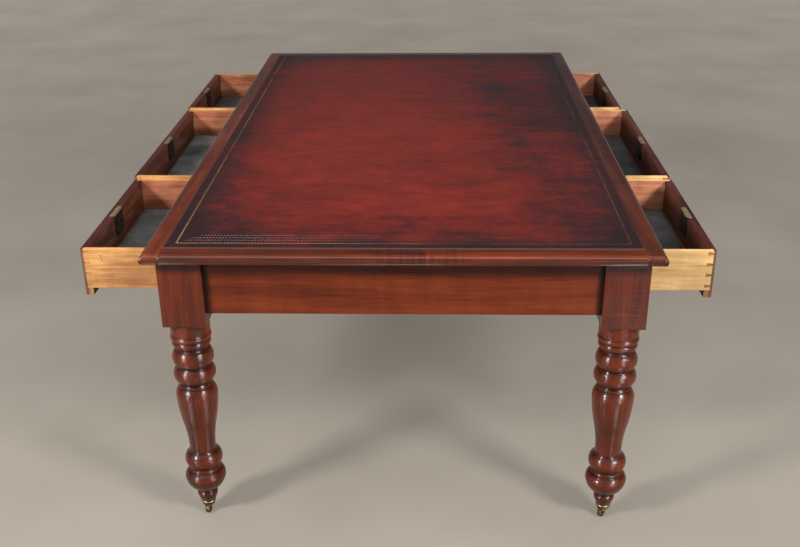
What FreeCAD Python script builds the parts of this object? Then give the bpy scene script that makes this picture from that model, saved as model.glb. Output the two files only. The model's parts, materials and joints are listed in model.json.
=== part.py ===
"""Partners writing desk: a leather-topped mahogany table on turned legs.

Three drawers open on each long side, all drawn out part of the way, and every
leg stands on a brass cup castor. Millimetres, +Z up, +Y along the desk, with
the origin on the floor under the middle of the top.
"""
import FreeCAD
import Part
import math
import os
import re

# Sizes that can be set by themselves, in millimetres unless the name ends in turn (degrees) or count
SIZES = [
    # Top
    ("top_length", 2110.0, "length of the moulded top"),
    ("top_width", 1220.0, "width of the moulded top"),
    ("desk_height", 787.0, "floor to the upper face of the top"),
    ("top_thick", 23.0, "thickness of the moulded border"),
    ("border_width", 47.0, "wooden border outside the leather"),
    ("leather_thick", 1.4, "hide of the writing surface"),
    ("leather_sink", 0.3, "leather face below the wooden border"),
    ("nose_radius", 10.5, "quarter round of the moulding along the edge"),
    ("nose_quirk", 1.5, "step where the moulding meets the flat"),
    ("nose_undercut", 3.0, "how far the lower edge runs back under the widest line"),
    # Legs
    ("side_overhang", 29.0, "top beyond the leg blocks on the long sides"),
    ("end_overhang", 34.0, "top beyond the leg blocks at the ends"),
    ("leg_block", 106.0, "side of the square block of each leg"),
    ("block_height", 181.0, "height of the square block"),
    ("leg_radius", 53.0, "largest radius of the turning"),
    # Aprons, rails and the frame that carries the drawers
    ("frieze_setback", 15.0, "aprons, rails and closed drawer fronts behind the block faces"),
    ("apron_height", 149.5, "depth of the end aprons and of the drawer frieze"),
    ("apron_thick", 24.0, "thickness of the end aprons"),
    ("upper_rail_thick", 27.0, "rail over the drawers"),
    ("lower_rail_thick", 15.0, "rail under the drawers"),
    ("rail_depth", 60.0, "width of both rails, measured into the desk"),
    ("end_stile_width", 16.0, "upright strip between an end drawer and the leg block"),
    ("divider_width", 20.0, "upright between two drawers"),
    ("runner_width", 44.0, "bearing for the two drawer sides that share a runner"),
    ("beam_width", 40.0, "long beam down the middle that stops the drawers"),
    # Drawers
    ("middle_drawer_width", 716.0, "width of the middle drawer fronts"),
    ("drawer_length", 530.0, "from the front face to the back end of the sides"),
    ("front_thick", 20.0, "drawer front"),
    ("front_overrun", 4.0, "drawer front below the lower rail"),
    ("side_thick", 13.0, "drawer side"),
    ("back_thick", 12.0, "drawer back"),
    ("back_drop", 8.0, "drawer back lower than the sides"),
    ("back_inset", 10.0, "drawer back in from the end of the sides"),
    ("bottom_thick", 8.0, "drawer bottom"),
    ("bottom_lift", 8.0, "drawer bottom above the lower edge of the sides"),
    ("groove_depth", 5.0, "groove that holds the drawer bottom"),
    ("side_clear", 1.0, "drawer front to the uprights beside it"),
    ("head_clear", 1.5, "drawer sides to the upper rail"),
    ("run_gap", 0.3, "drawer sides over the runners"),
    ("face_gap", 0.5, "closed drawer front to the lower rail"),
    ("tail_length", 14.0, "dovetails let into the drawer front"),
    ("pin_wide", 9.0, "dovetail pin at its root"),
    ("pin_narrow", 4.5, "dovetail pin at its tip"),
    # How far each drawer stands open, left to right and from the near end
    ("pull_left_near", 235.0, "left drawer at the near end"),
    ("pull_left_middle", 244.0, "left drawer in the middle"),
    ("pull_left_far", 248.0, "left drawer at the far end"),
    ("pull_right_near", 196.0, "right drawer at the near end"),
    ("pull_right_middle", 196.0, "right drawer in the middle"),
    ("pull_right_far", 178.0, "right drawer at the far end"),
    # Locks
    ("selvedge_length", 76.0, "brass top plate of the lock, along the drawer front"),
    ("selvedge_width", 11.0, "brass top plate, across the drawer front"),
    ("selvedge_thick", 2.0, "brass top plate"),
    ("lock_length", 64.0, "lock case along the drawer front"),
    ("lock_height", 58.0, "lock case under the top plate"),
    ("lock_depth", 14.0, "lock case across the drawer front"),
    ("lock_proud", 3.0, "lock case beyond the inner face of the drawer front"),
    ("bolt_length", 22.0, "bolt along the drawer front"),
    ("bolt_width", 6.0, "bolt across the drawer front"),
    ("bolt_height", 34.0, "bolt from its foot to its top"),
    ("bolt_travel", 8.0, "rise of the bolt when it is locked"),
    ("bolt_clear", 0.2, "bolt to the walls of the lock"),
    ("strike_clear", 1.0, "raised bolt to the mortise in the upper rail"),
    ("key_drop", 31.0, "keyhole below the top edge of the drawer front"),
    ("keyhole_radius", 2.6, "round part of the keyhole"),
    ("keyhole_slot", 2.4, "width of the slot of the keyhole"),
    ("keyhole_fall", 9.0, "length of the slot of the keyhole"),
    ("escutcheon_radius", 12.0, "brass plate round the keyhole"),
    ("escutcheon_thick", 2.0, "brass plate round the keyhole"),
    ("escutcheon_proud", 0.4, "brass plate beyond the drawer front"),
    # Knobs
    ("knob_radius", 21.0, "largest radius of a knob"),
    ("knob_reach", 34.0, "knob beyond the drawer front"),
    ("spigot_radius", 7.0, "round tenon of a knob"),
    ("spigot_length", 12.0, "round tenon of a knob inside the drawer front"),
    # Castors
    ("wheel_radius", 11.6, "castor wheel"),
    ("wheel_width", 11.0, "castor wheel"),
    ("wheel_crown", 1.2, "rounding of the wheel's rim"),
    ("wheel_trail", 10.0, "wheel centre from the swivel's axis"),
    ("wheel_gap", 0.8, "wheel to the fork's plate"),
    ("cheek_gap", 0.4, "wheel to the fork's cheeks"),
    ("cheek_thick", 2.2, "cheeks of the fork"),
    ("cheek_width", 13.0, "cheeks of the fork at the axle"),
    ("axle_radius", 2.0, "axle of the wheel"),
    ("axle_head", 0.8, "axle beyond the cheeks"),
    ("plate_thick", 2.7, "plate on top of the fork"),
    ("plate_radius", 16.5, "plate on top of the fork"),
    ("swivel_radius", 3.5, "upright pin of the fork"),
    ("swivel_gap", 0.3, "fork's plate to the brass cup"),
    ("run_clear", 0.05, "radial clearance of the axle and of the upright pin"),
    ("pin_short", 0.4, "upright pin short of the foot of the leg"),
    ("cup_radius", 19.8, "rim of the brass cup"),
    ("cup_wall", 2.8, "wall of the brass cup at its rim"),
    ("cup_floor", 4.0, "floor of the brass cup"),
    ("cup_depth", 6.0, "foot of the leg inside the brass cup"),
    ("castor_turn_left_near", 0.0, "swivel of the castor, in degrees from the near end"),
    ("castor_turn_right_near", -32.0, "swivel of the castor, in degrees from the near end"),
    ("castor_turn_left_far", 24.0, "swivel of the castor, in degrees from the near end"),
    ("castor_turn_right_far", 41.0, "swivel of the castor, in degrees from the near end"),
    # One overrun for every cut
    ("overrun", 1.0, "how far a cutting shape runs past the wood"),
]

# Places and measures that follow from the sizes above and from each other
PLACES = [
    ("half_width", "top_width / 2"),
    ("half_length", "top_length / 2"),
    ("field_x", "half_width - border_width"),
    ("field_y", "half_length - border_width"),
    ("top_under", "desk_height - top_thick"),
    ("leather_top", "desk_height - leather_sink"),
    ("board_top", "leather_top - leather_thick"),
    ("block_foot", "top_under - block_height"),
    ("block_x", "half_width - side_overhang"),
    ("block_y", "half_length - end_overhang"),
    ("leg_x", "block_x - leg_block / 2"),
    ("leg_y", "block_y - leg_block / 2"),
    ("bay_x", "block_x - leg_block"),
    ("bay_y", "block_y - leg_block"),
    ("face_x", "block_x - frieze_setback"),
    ("front_back", "face_x - front_thick"),
    ("rail_x", "front_back - face_gap"),
    ("drawer_end", "face_x - drawer_length"),
    ("tail_tip", "front_back + tail_length"),
    ("bolt_x", "front_back + selvedge_width / 2"),
    ("frieze_foot", "top_under - apron_height"),
    ("run_top", "frieze_foot + lower_rail_thick"),
    ("rail_under", "top_under - upper_rail_thick"),
    ("side_foot", "run_top + run_gap"),
    ("side_head", "rail_under - head_clear"),
    ("front_foot", "frieze_foot - front_overrun"),
    ("stile_y", "bay_y - end_stile_width"),
    ("divider_low", "middle_drawer_width / 2 + side_clear"),
    ("divider_high", "divider_low + divider_width"),
    ("end_drawer_low", "divider_high + side_clear"),
    ("end_drawer_high", "stile_y - side_clear"),
    ("end_drawer_width", "end_drawer_high - end_drawer_low"),
    ("end_drawer_middle", "end_drawer_low + end_drawer_width / 2"),
    ("plate_under", "2 * wheel_radius + wheel_gap"),
    ("plate_top", "plate_under + plate_thick"),
    ("cup_foot", "plate_top + swivel_gap"),
    ("leg_foot", "cup_foot + cup_floor"),
    ("cup_rim", "leg_foot + cup_depth"),
    ("pin_top", "leg_foot - pin_short"),
    ("cup_bore", "cup_radius - cup_wall"),
    ("swivel_bore", "swivel_radius + run_clear"),
    ("axle_bore", "axle_radius + run_clear"),
]

# Outline of a turned leg from the brass cup up to the block. Each row holds the radius and the
# height of a point, as shares of the largest radius and of the height of the turning. A row
# with four numbers is an arc: the point it passes through, then the point it ends at.
LEG_SHARES = [
    (0.330, 0.000),
    (0.420, 0.017, 0.498, 0.040),
    (0.490, 0.053, 0.415, 0.061),
    (0.402, 0.066),
    (0.430, 0.073),
    (0.755, 0.096, 0.996, 0.147),
    (0.953, 0.170, 0.783, 0.186),
    (0.757, 0.188),
    (0.783, 0.196, 0.736, 0.203),
    (0.723, 0.208),
    (0.745, 0.215),
    (0.913, 0.256, 0.698, 0.293),
    (0.645, 0.302, 0.632, 0.318),
    (0.688, 0.394, 0.802, 0.458),
    (0.950, 0.546, 0.992, 0.603),
    (0.949, 0.634, 0.802, 0.655),
    (0.774, 0.657),
    (0.811, 0.664, 0.764, 0.670),
    (0.730, 0.675),
    (0.764, 0.681),
    (1.000, 0.722, 0.811, 0.761),
    (0.785, 0.764),
    (0.811, 0.767),
    (0.981, 0.809, 0.840, 0.846),
    (0.792, 0.849),
    (0.728, 0.862, 0.811, 0.873),
    (0.849, 0.873),
    (0.917, 0.886, 0.868, 0.898),
    (0.853, 0.901),
    (0.877, 0.904),
    (0.962, 0.917, 0.887, 0.930),
    (0.868, 0.934),
    (0.928, 0.937),
    (0.936, 1.000),
]

# Outline of a knob from the drawer front outwards: each point's distance from the front as a share
# of the knob's reach, then its radius as a share of the largest radius
KNOB_SHARES = [
    (0.000, 0.620),
    (0.100, 0.620),
    (0.290, 0.430, 0.440, 0.600),
    (0.660, 1.000, 0.930, 0.720),
    (0.982, 0.420, 1.000, 0.120),
    (1.000, 0.000),
]

# Dovetail pins of a drawer corner, as shares of the height of the side from its lower edge
PIN_SHARES = (0.105, 0.385, 0.655, 0.930)

# Knobs from the middle of a drawer, as a share of the width of its front
KNOB_SHARE = 0.25

# The middle of a quarter round, as a share of its radius
QUARTER_SHARE = math.sqrt(0.5)

# Foot of the brass cup and foot of a fork's cheek, as shares of their upper sizes
CUP_FOOT_SHARE = 0.86
CHEEK_HEAD_SHARE = 0.80

doc = FreeCAD.newDocument("partners_desk")
sizes = doc.addObject("Spreadsheet::Sheet", "Sizes")
for row, (alias, number, meaning) in enumerate(SIZES, start=1):
    sizes.set("A%d" % row, alias)
    sizes.set("B%d" % row, "%g" % number)
    sizes.set("C%d" % row, meaning)
    sizes.setAlias("B%d" % row, alias)
doc.recompute()

WORD = re.compile(r"[a-z_]+")
SIZE_NAMES = {row[0] for row in SIZES}
PLACE_NAMES = {row[0] for row in PLACES}


def formula(text, place_sheet="Places."):
    """Write a formula on size and place names as one on the cells of the two sheets."""
    def cell(match):
        word = match.group(0)
        if word in SIZE_NAMES:
            return "Sizes." + word
        return place_sheet + word if word in PLACE_NAMES else word
    return WORD.sub(cell, text)


places = doc.addObject("Spreadsheet::Sheet", "Places")
for row, (alias, text) in enumerate(PLACES, start=1):
    places.set("A%d" % row, alias)
    places.set("B%d" % row, "=" + formula(text, ""))
    places.setAlias("B%d" % row, alias)
    doc.recompute()

exported = []


def value(name):
    """The number in the cell of a size or a place."""
    sheet = sizes if name in SIZE_NAMES else places
    return float(sheet.get(name))


def bind(obj, prop, text):
    """Tie one property of an object to the sheet."""
    obj.setExpression(prop, formula(text))


def at_desk(obj, low_x, low_y, low_z):
    """Tie the place of an object that stands in the desk's own axes."""
    bind(obj, "Placement.Base.x", low_x)
    bind(obj, "Placement.Base.y", low_y)
    bind(obj, "Placement.Base.z", low_z)


def blank(name, x_range, y_range, z_range):
    """A rectangular piece as long, wide and high as the range between two formulas along each axis."""
    box = doc.addObject("Part::Box", name)
    for prop, (low, high) in zip(("Length", "Width", "Height"), (x_range, y_range, z_range)):
        bind(box, prop, "(%s) - (%s)" % (high, low))
    return box


def board(name, x_range, y_range, z_range):
    """A rectangular board that stands in the desk's own axes."""
    box = blank(name, x_range, y_range, z_range)
    at_desk(box, x_range[0], y_range[0], z_range[0])
    return box


def on_side(side, low, high):
    """The same range along X on the right (+1) or, turned over, on the left (-1)."""
    return (low, high) if side > 0 else ("-(%s)" % high, "-(%s)" % low)


def cut(name, base, tools):
    """One piece of wood or metal with the tools taken out of it."""
    result = doc.addObject("Part::Cut", name)
    result.Base = base
    result.Tool = tools[0] if len(tools) == 1 else group(name + "_tools", tools)
    return result


def group(name, pieces):
    """Several loose pieces kept together under one name."""
    result = doc.addObject("Part::Compound", name)
    result.Links = pieces
    return result


def keep(obj, label):
    """List a finished sub-part under the name of its file."""
    obj.Label = label
    exported.append(obj)


def plane(body, role):
    """An origin plane or axis of a body, found by its role."""
    return next(item for item in body.Origin.OriginFeatures if item.Role == role)


def outline_edges(start, rows):
    """Lines and arcs through the points of an outline, as flat geometry."""
    here = FreeCAD.Vector(start[0], start[1], 0)
    edges = []
    for row in rows:
        end = FreeCAD.Vector(row[-2], row[-1], 0)
        if len(row) == 2:
            edges.append(Part.LineSegment(here, end))
        else:
            edges.append(Part.Arc(here, FreeCAD.Vector(row[0], row[1], 0), end))
        here = end
    return edges


def scaled(rows, scale, origin):
    """Outline rows given as shares, at their real size and place."""
    def at_size(row):
        return tuple(share * scale[place % 2] + origin[place % 2] for place, share in enumerate(row))
    return [at_size(row) for row in rows]


def sketch_on(body, role, name, edges):
    """A sketch of the given edges on one of the body's own planes."""
    sketch = body.newObject("Sketcher::SketchObject", name)
    sketch.AttachmentSupport = [(plane(body, role), "")]
    sketch.MapMode = "FlatFace"
    for edge in edges:
        sketch.addGeometry(edge, False)
    return sketch


def closed(points):
    """Straight edges round a list of corners."""
    rows = list(points[1:]) + [points[0]]
    return outline_edges(points[0], rows)


def turned(name, start, rows, axis_role, sketch_role="XZ_Plane"):
    """A body turned about an axis of its own, from a half outline."""
    body = doc.addObject("PartDesign::Body", name)
    sketch = sketch_on(body, sketch_role, name + "_outline", outline_edges(start, rows + [start]))
    turn = body.newObject("PartDesign::Revolution", name + "_turning")
    turn.Profile = sketch
    turn.ReferenceAxis = (plane(body, axis_role), [""])
    turn.Angle = 360
    body.Tip = turn
    return body


def padded(name, role, edges, length):
    """A body of one flat outline, thickened evenly to both sides of its plane."""
    body = doc.addObject("PartDesign::Body", name)
    sketch = sketch_on(body, role, name + "_outline", edges)
    pad = body.newObject("PartDesign::Pad", name + "_pad")
    pad.Profile = sketch
    pad.Midplane = True
    bind(pad, "Length", length)
    body.Tip = pad
    return body


def nose(outer, sign):
    """Outline rows of the moulded edge: a quarter round under a quirk, then a flat curve running back."""
    top = value("desk_height")
    radius = value("nose_radius")
    level = top - value("nose_quirk") - radius
    undercut = value("nose_undercut")
    below = level - value("top_under")
    sweep = (undercut ** 2 + below ** 2) / (2 * undercut)
    half_angle = math.asin(below / sweep) / 2
    return [
        (outer - sign * radius, level + radius),
        (outer - sign * radius * (1 - QUARTER_SHARE), level + radius * QUARTER_SHARE, outer, level),
        (outer - sign * sweep * (1 - math.cos(half_angle)), level - sweep * math.sin(half_angle),
         outer - sign * undercut, value("top_under")),
    ]


def waste(outer, sign):
    """The wood that the moulding plane takes off one edge, as a closed outline."""
    top = value("desk_height")
    foot = value("top_under")
    over = value("overrun")
    start = (outer - sign * value("nose_radius"), top + over)
    beyond = outer + sign * over
    rows = nose(outer, sign)
    rows += [(rows[-1][-2], foot - over), (beyond, foot - over), (beyond, top + over), start]
    return outline_edges(start, rows)


def moulded_long_strip(side):
    """Border strip on a long side, moulded along its outer edge and over both ends."""
    name = "top_border_left" if side < 0 else "top_border_right"
    outer = side * value("half_width")
    inner = side * value("field_x")
    start = (inner, value("desk_height"))
    rows = [(outer - side * value("nose_radius"), value("desk_height"))] + nose(outer, side)
    rows += [(inner, value("top_under")), start]
    body = padded(name, "XZ_Plane", outline_edges(start, rows), "top_length")
    ends = waste(-value("half_length"), -1) + waste(value("half_length"), 1)
    sketch = sketch_on(body, "YZ_Plane", name + "_ends", ends)
    pocket = body.newObject("PartDesign::Pocket", name + "_end_moulding")
    pocket.Profile = sketch
    pocket.Midplane = True
    bind(pocket, "Length", "top_width + overrun")
    body.Tip = pocket
    keep(body, name)


def moulded_end_strip(end):
    """Border strip at one end, cut square between the long strips."""
    name = "top_border_near" if end < 0 else "top_border_far"
    outer = end * value("half_length")
    inner = end * value("field_y")
    start = (inner, value("desk_height"))
    rows = [(outer - end * value("nose_radius"), value("desk_height"))] + nose(outer, end)
    rows += [(inner, value("top_under")), start]
    body = padded(name, "YZ_Plane", outline_edges(start, rows), "2 * field_x")
    keep(body, name)


def top():
    """Ground board, four moulded border strips and the leather let in between them."""
    inner_x = ("-field_x", "field_x")
    inner_y = ("-field_y", "field_y")
    keep(board("board", inner_x, inner_y, ("top_under", "board_top")), "top_ground_board")
    keep(board("hide", inner_x, inner_y, ("board_top", "leather_top")), "writing_leather")
    for sign in (-1, 1):
        moulded_long_strip(sign)
        moulded_end_strip(sign)


def leg(name, side, end):
    """One leg: a turning with a square block above it and a spigot for the brass cup."""
    radius = value("leg_radius")
    rim = value("cup_rim")
    rise = value("block_foot") - rim
    foot = value("leg_foot")
    spigot = value("cup_bore")
    rows = [(spigot, foot), (spigot, rim)] + scaled(LEG_SHARES, (radius, rise), (0, rim))
    rows.append((0, value("block_foot")))
    body = turned(name + "_wood", (0, foot), rows, "Z_Axis")
    square = board(name + "_block", ("-leg_block / 2", "leg_block / 2"), ("-leg_block / 2", "leg_block / 2"),
                   ("block_foot", "top_under"))
    whole = doc.addObject("Part::Fuse", name + "_fuse")
    whole.Base = body
    whole.Tool = square
    bind(whole, "Placement.Base.x", "%d * leg_x" % side)
    bind(whole, "Placement.Base.y", "%d * leg_y" % end)
    keep(whole, name)


def frieze():
    """End aprons, rails, uprights and the inner frame that guides and carries the drawers."""
    for end, word in ((-1, "near"), (1, "far")):
        low, high = on_side(end, "block_y - frieze_setback - apron_thick", "block_y - frieze_setback")
        keep(board("apron_" + word, ("-bay_x", "bay_x"), (low, high), ("frieze_foot", "top_under")),
             "end_apron_" + word)
    keep(front_rails(), "drawer_rails")
    keep(inner_frame(), "inner_frame")
    keep(runners(), "runners_and_kickers")


def slots():
    """The three drawer places along one side: name, middle and width."""
    return (("near", "-end_drawer_middle", "end_drawer_width"), ("middle", "0", "middle_drawer_width"),
            ("far", "end_drawer_middle", "end_drawer_width"))


def upper_rail(side, word):
    """The rail over the drawers of one side, with a mortise for each lock's bolt."""
    rail = board("upper_rail_" + word, on_side(side, "face_x - rail_depth", "face_x"), ("-bay_y", "bay_y"),
                 ("rail_under", "top_under"))
    mortises = []
    half_x = "(bolt_width / 2 + strike_clear)"
    half_y = "(bolt_length / 2 + strike_clear)"
    for slot, middle, width in slots():
        mortises.append(board("mortise_%s_%s" % (word, slot),
                              on_side(side, "bolt_x - " + half_x, "bolt_x + " + half_x),
                              (middle + " - " + half_y, middle + " + " + half_y),
                              ("rail_under - overrun", "side_head + bolt_travel + strike_clear")))
    return cut("upper_rail_cut_" + word, rail, mortises)


def front_rails():
    """Upper and lower rails of both sides with the uprights between and beside the drawers."""
    pieces = []
    uprights = (("stile", "stile_y", "bay_y"), ("divider", "divider_low", "divider_high"))
    for side, word in ((-1, "left"), (1, "right")):
        pieces.append(upper_rail(side, word))
        pieces.append(board("lower_rail_" + word, on_side(side, "rail_x - rail_depth", "rail_x"),
                            ("-bay_y", "bay_y"), ("frieze_foot", "run_top")))
        for end in (-1, 1):
            for kind, low, high in uprights:
                pieces.append(board("%s_%s_%d" % (kind, word, end + 1), on_side(side, "rail_x", "face_x"),
                                    on_side(end, low, high), ("frieze_foot", "rail_under")))
    return group("front_rail_pieces", pieces)


def inner_frame():
    """Partitions between the drawers, guides at the ends and the beam down the middle."""
    pieces = []
    height = ("run_top", "rail_under")
    beam_x = ("-beam_width / 2", "beam_width / 2")
    for end in (-1, 1):
        for kind, low, high in (("partition", "divider_low", "divider_high"), ("guide", "stile_y", "bay_y")):
            pieces.append(board("%s_%d" % (kind, end + 1), ("-rail_x", "rail_x"),
                                on_side(end, low, high), height))
        pieces.append(board("beam_%d" % (end + 1), beam_x, on_side(end, "divider_high", "stile_y"), height))
    pieces.append(board("beam_middle", beam_x, ("-divider_low", "divider_low"), height))
    return group("inner_frame_pieces", pieces)


def runners():
    """Bearers under the drawer sides and strips over them that keep an open drawer level."""
    pieces = []
    runner_x = ("-(rail_x - rail_depth)", "rail_x - rail_depth")
    kicker_x = ("-(face_x - rail_depth)", "face_x - rail_depth")
    spans = (("divider", "divider_low - runner_width / 2", "divider_high + runner_width / 2"),
             ("end", "stile_y - runner_width / 2", "bay_y"))
    for end in (-1, 1):
        for kind, low, high in spans:
            y_range = on_side(end, low, high)
            name = "%s_%d" % (kind, end + 1)
            pieces.append(board("runner_" + name, runner_x, y_range, ("frieze_foot", "run_top")))
            pieces.append(board("kicker_" + name, kicker_x, y_range, ("rail_under", "top_under")))
    return group("runner_pieces", pieces)


class Drawer:
    """One drawer, built where it stands open. Its own X axis points out of the desk."""

    CASE_Z = ("side_head - selvedge_thick - lock_height", "side_head - selvedge_thick")
    KNOB_Z = "(front_foot + side_head) / 2"
    PLATE_Z = "side_head - key_drop - keyhole_fall / 2"

    def __init__(self, side, word, slot, middle, width):
        self.side = side
        self.name = "%s_%s" % (word, slot)
        self.middle = middle
        self.width = width
        self.pull = "pull_" + self.name

    def place(self, obj, x, y, z):
        """Tie an object made in the drawer's own axes to its place in the desk."""
        bind(obj, "Placement.Base.x", "%d * (%s + %s)" % (self.side, self.pull, x))
        bind(obj, "Placement.Base.y", "%s + %d * (%s)" % (self.middle, self.side, y))
        bind(obj, "Placement.Base.z", z)
        obj.Placement.Rotation = FreeCAD.Rotation(FreeCAD.Vector(0, 0, 1), 0 if self.side > 0 else 180)

    def board(self, name, x_range, y_range, z_range):
        """A rectangular board in the drawer's own axes."""
        box = blank("%s_%s" % (name, self.name), x_range, y_range, z_range)
        self.place(box, x_range[0], y_range[0], z_range[0])
        return box

    def rod(self, name, radius, x_range, y, z):
        """A round bar along the drawer's own X axis."""
        bar = doc.addObject("Part::Cylinder", "%s_%s" % (name, self.name))
        bind(bar, "Radius", radius)
        bind(bar, "Height", "(%s) - (%s)" % (x_range[1], x_range[0]))
        self.place(bar, x_range[0], y, z)
        turn = 90 if self.side > 0 else -90
        bar.Placement.Rotation = FreeCAD.Rotation(FreeCAD.Vector(0, 1, 0), turn)
        return bar

    def side_board(self, name, y_sign, bottom):
        """A drawer side: dovetails at its front end and a groove for the bottom."""
        back = value("drawer_end")
        root = value("front_back")
        tip = value("tail_tip")
        low = value("side_foot")
        high = value("side_head")
        corners = [(back, low), (tip, low)]
        for share in PIN_SHARES:
            pin = low + share * (high - low)
            wide = value("pin_wide") / 2
            narrow = value("pin_narrow") / 2
            corners += [(tip, pin - narrow), (root, pin - wide), (root, pin + wide), (tip, pin + narrow)]
        corners += [(tip, high), (back, high)]
        body = padded("%s_%s" % (name, self.name), "XZ_Plane", closed(corners), "side_thick")
        self.place(body, "0", "%d * (%s / 2 - side_thick / 2)" % (y_sign, self.width), "0")
        return cut("%s_cut_%s" % (name, self.name), body, [bottom])

    def lock(self):
        """Lock case with its brass top plate, hollow where the bolt slides."""
        case = self.board("case", ("front_back - lock_proud", "front_back - lock_proud + lock_depth"),
                          ("-lock_length / 2", "lock_length / 2"), self.CASE_Z)
        plate = self.board("plate", ("front_back", "front_back + selvedge_width"),
                           ("-selvedge_length / 2", "selvedge_length / 2"),
                           ("side_head - selvedge_thick", "side_head"))
        room = self.board("bolt_room",
                          ("bolt_x - bolt_width / 2 - bolt_clear", "bolt_x + bolt_width / 2 + bolt_clear"),
                          ("-bolt_length / 2 - bolt_clear", "bolt_length / 2 + bolt_clear"),
                          ("side_head - bolt_height - bolt_clear", "side_head + overrun"))
        shell = doc.addObject("Part::Fuse", "lock_shell_" + self.name)
        shell.Base = case
        shell.Tool = plate
        keep(cut("lock_cut_" + self.name, shell, [room]), "lock_" + self.name)
        keep(self.board("bolt_bar", ("bolt_x - bolt_width / 2", "bolt_x + bolt_width / 2"),
                        ("-bolt_length / 2", "bolt_length / 2"), ("side_head - bolt_height", "side_head")),
             "bolt_" + self.name)

    def lock_cuts(self):
        """The wood taken out of the drawer front for the lock, its plate and the keyhole."""
        return [
            self.board("case_cut", ("front_back - overrun", "front_back - lock_proud + lock_depth"),
                       ("-lock_length / 2", "lock_length / 2"), self.CASE_Z),
            self.board("plate_cut", ("front_back - overrun", "front_back + selvedge_width"),
                       ("-selvedge_length / 2", "selvedge_length / 2"),
                       ("side_head - selvedge_thick", "side_head + overrun")),
        ]

    def keyhole(self, name, x_range):
        """A keyhole: a round eye with a slot hanging from it."""
        z = "side_head - key_drop"
        eye = self.rod(name + "_eye", "keyhole_radius", x_range, "0", z)
        slot = self.board(name + "_slot", x_range, ("-keyhole_slot / 2", "keyhole_slot / 2"),
                          (z + " - keyhole_fall", z))
        both = doc.addObject("Part::Fuse", "%s_%s" % (name, self.name))
        both.Base = eye
        both.Tool = slot
        return both

    def pulls(self):
        """Two turned knobs and the brass plate round the keyhole."""
        pieces = []
        radius = value("knob_radius")
        reach = value("knob_reach")
        spigot = value("spigot_radius")
        sunk = -value("spigot_length")
        rows = [(sunk, spigot), (0, spigot)] + scaled(KNOB_SHARES, (reach, radius), (0, 0))
        for sign, word in ((-1, "a"), (1, "b")):
            knob = turned("knob_%s_%s" % (word, self.name), (sunk, 0), rows, "X_Axis")
            self.place(knob, "face_x", "%d * %s * %s" % (sign, KNOB_SHARE, self.width), self.KNOB_Z)
            pieces.append(knob)
        plate = self.rod("escutcheon_disc", "escutcheon_radius",
                         ("face_x + escutcheon_proud - escutcheon_thick", "face_x + escutcheon_proud"),
                         "0", self.PLATE_Z)
        hole = self.keyhole("escutcheon_keyhole",
                            ("face_x - escutcheon_thick - overrun", "face_x + overrun"))
        pieces.append(cut("escutcheon_" + self.name, plate, [hole]))
        return group("pull_pieces_" + self.name, pieces)

    def build(self):
        """Make every piece of the drawer and list it."""
        half = "%s / 2" % self.width
        inner = "(%s / 2 - side_thick)" % self.width
        panel_z = ("side_foot + bottom_lift", "side_foot + bottom_lift + bottom_thick")
        panel = self.board("panel", ("drawer_end", "front_back + groove_depth"),
                           ("-(%s + groove_depth)" % inner, "%s + groove_depth" % inner), panel_z)
        sides = [self.side_board("side_a", -1, panel), self.side_board("side_b", 1, panel)]
        back = self.board("back", ("drawer_end + back_inset", "drawer_end + back_inset + back_thick"),
                          ("-" + inner, inner), (panel_z[1], "side_head - back_drop"))
        slab = self.board("front_slab", ("front_back", "face_x"), ("-" + half, half),
                          ("front_foot", "side_head"))
        jointed = cut("front_joints_" + self.name, slab, sides + [panel])
        fitted = cut("front_lock_" + self.name, jointed, self.lock_cuts())
        holes = []
        for sign, word in ((-1, "a"), (1, "b")):
            holes.append(self.rod("knob_hole_" + word, "spigot_radius",
                                  ("face_x - spigot_length", "face_x + overrun"),
                                  "%d * %s * %s" % (sign, KNOB_SHARE, self.width), self.KNOB_Z))
        holes.append(self.rod("escutcheon_seat", "escutcheon_radius",
                              ("face_x + escutcheon_proud - escutcheon_thick", "face_x + overrun"),
                              "0", self.PLATE_Z))
        drilled = cut("front_holes_" + self.name, fitted, holes)
        way = self.keyhole("front_keyhole", ("front_back", "face_x"))
        keep(cut("front_" + self.name, drilled, [way]), "drawer_front_" + self.name)
        keep(group("box_" + self.name, sides + [back]), "drawer_box_" + self.name)
        keep(panel, "drawer_bottom_" + self.name)
        self.lock()
        keep(self.pulls(), "pulls_" + self.name)


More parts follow.
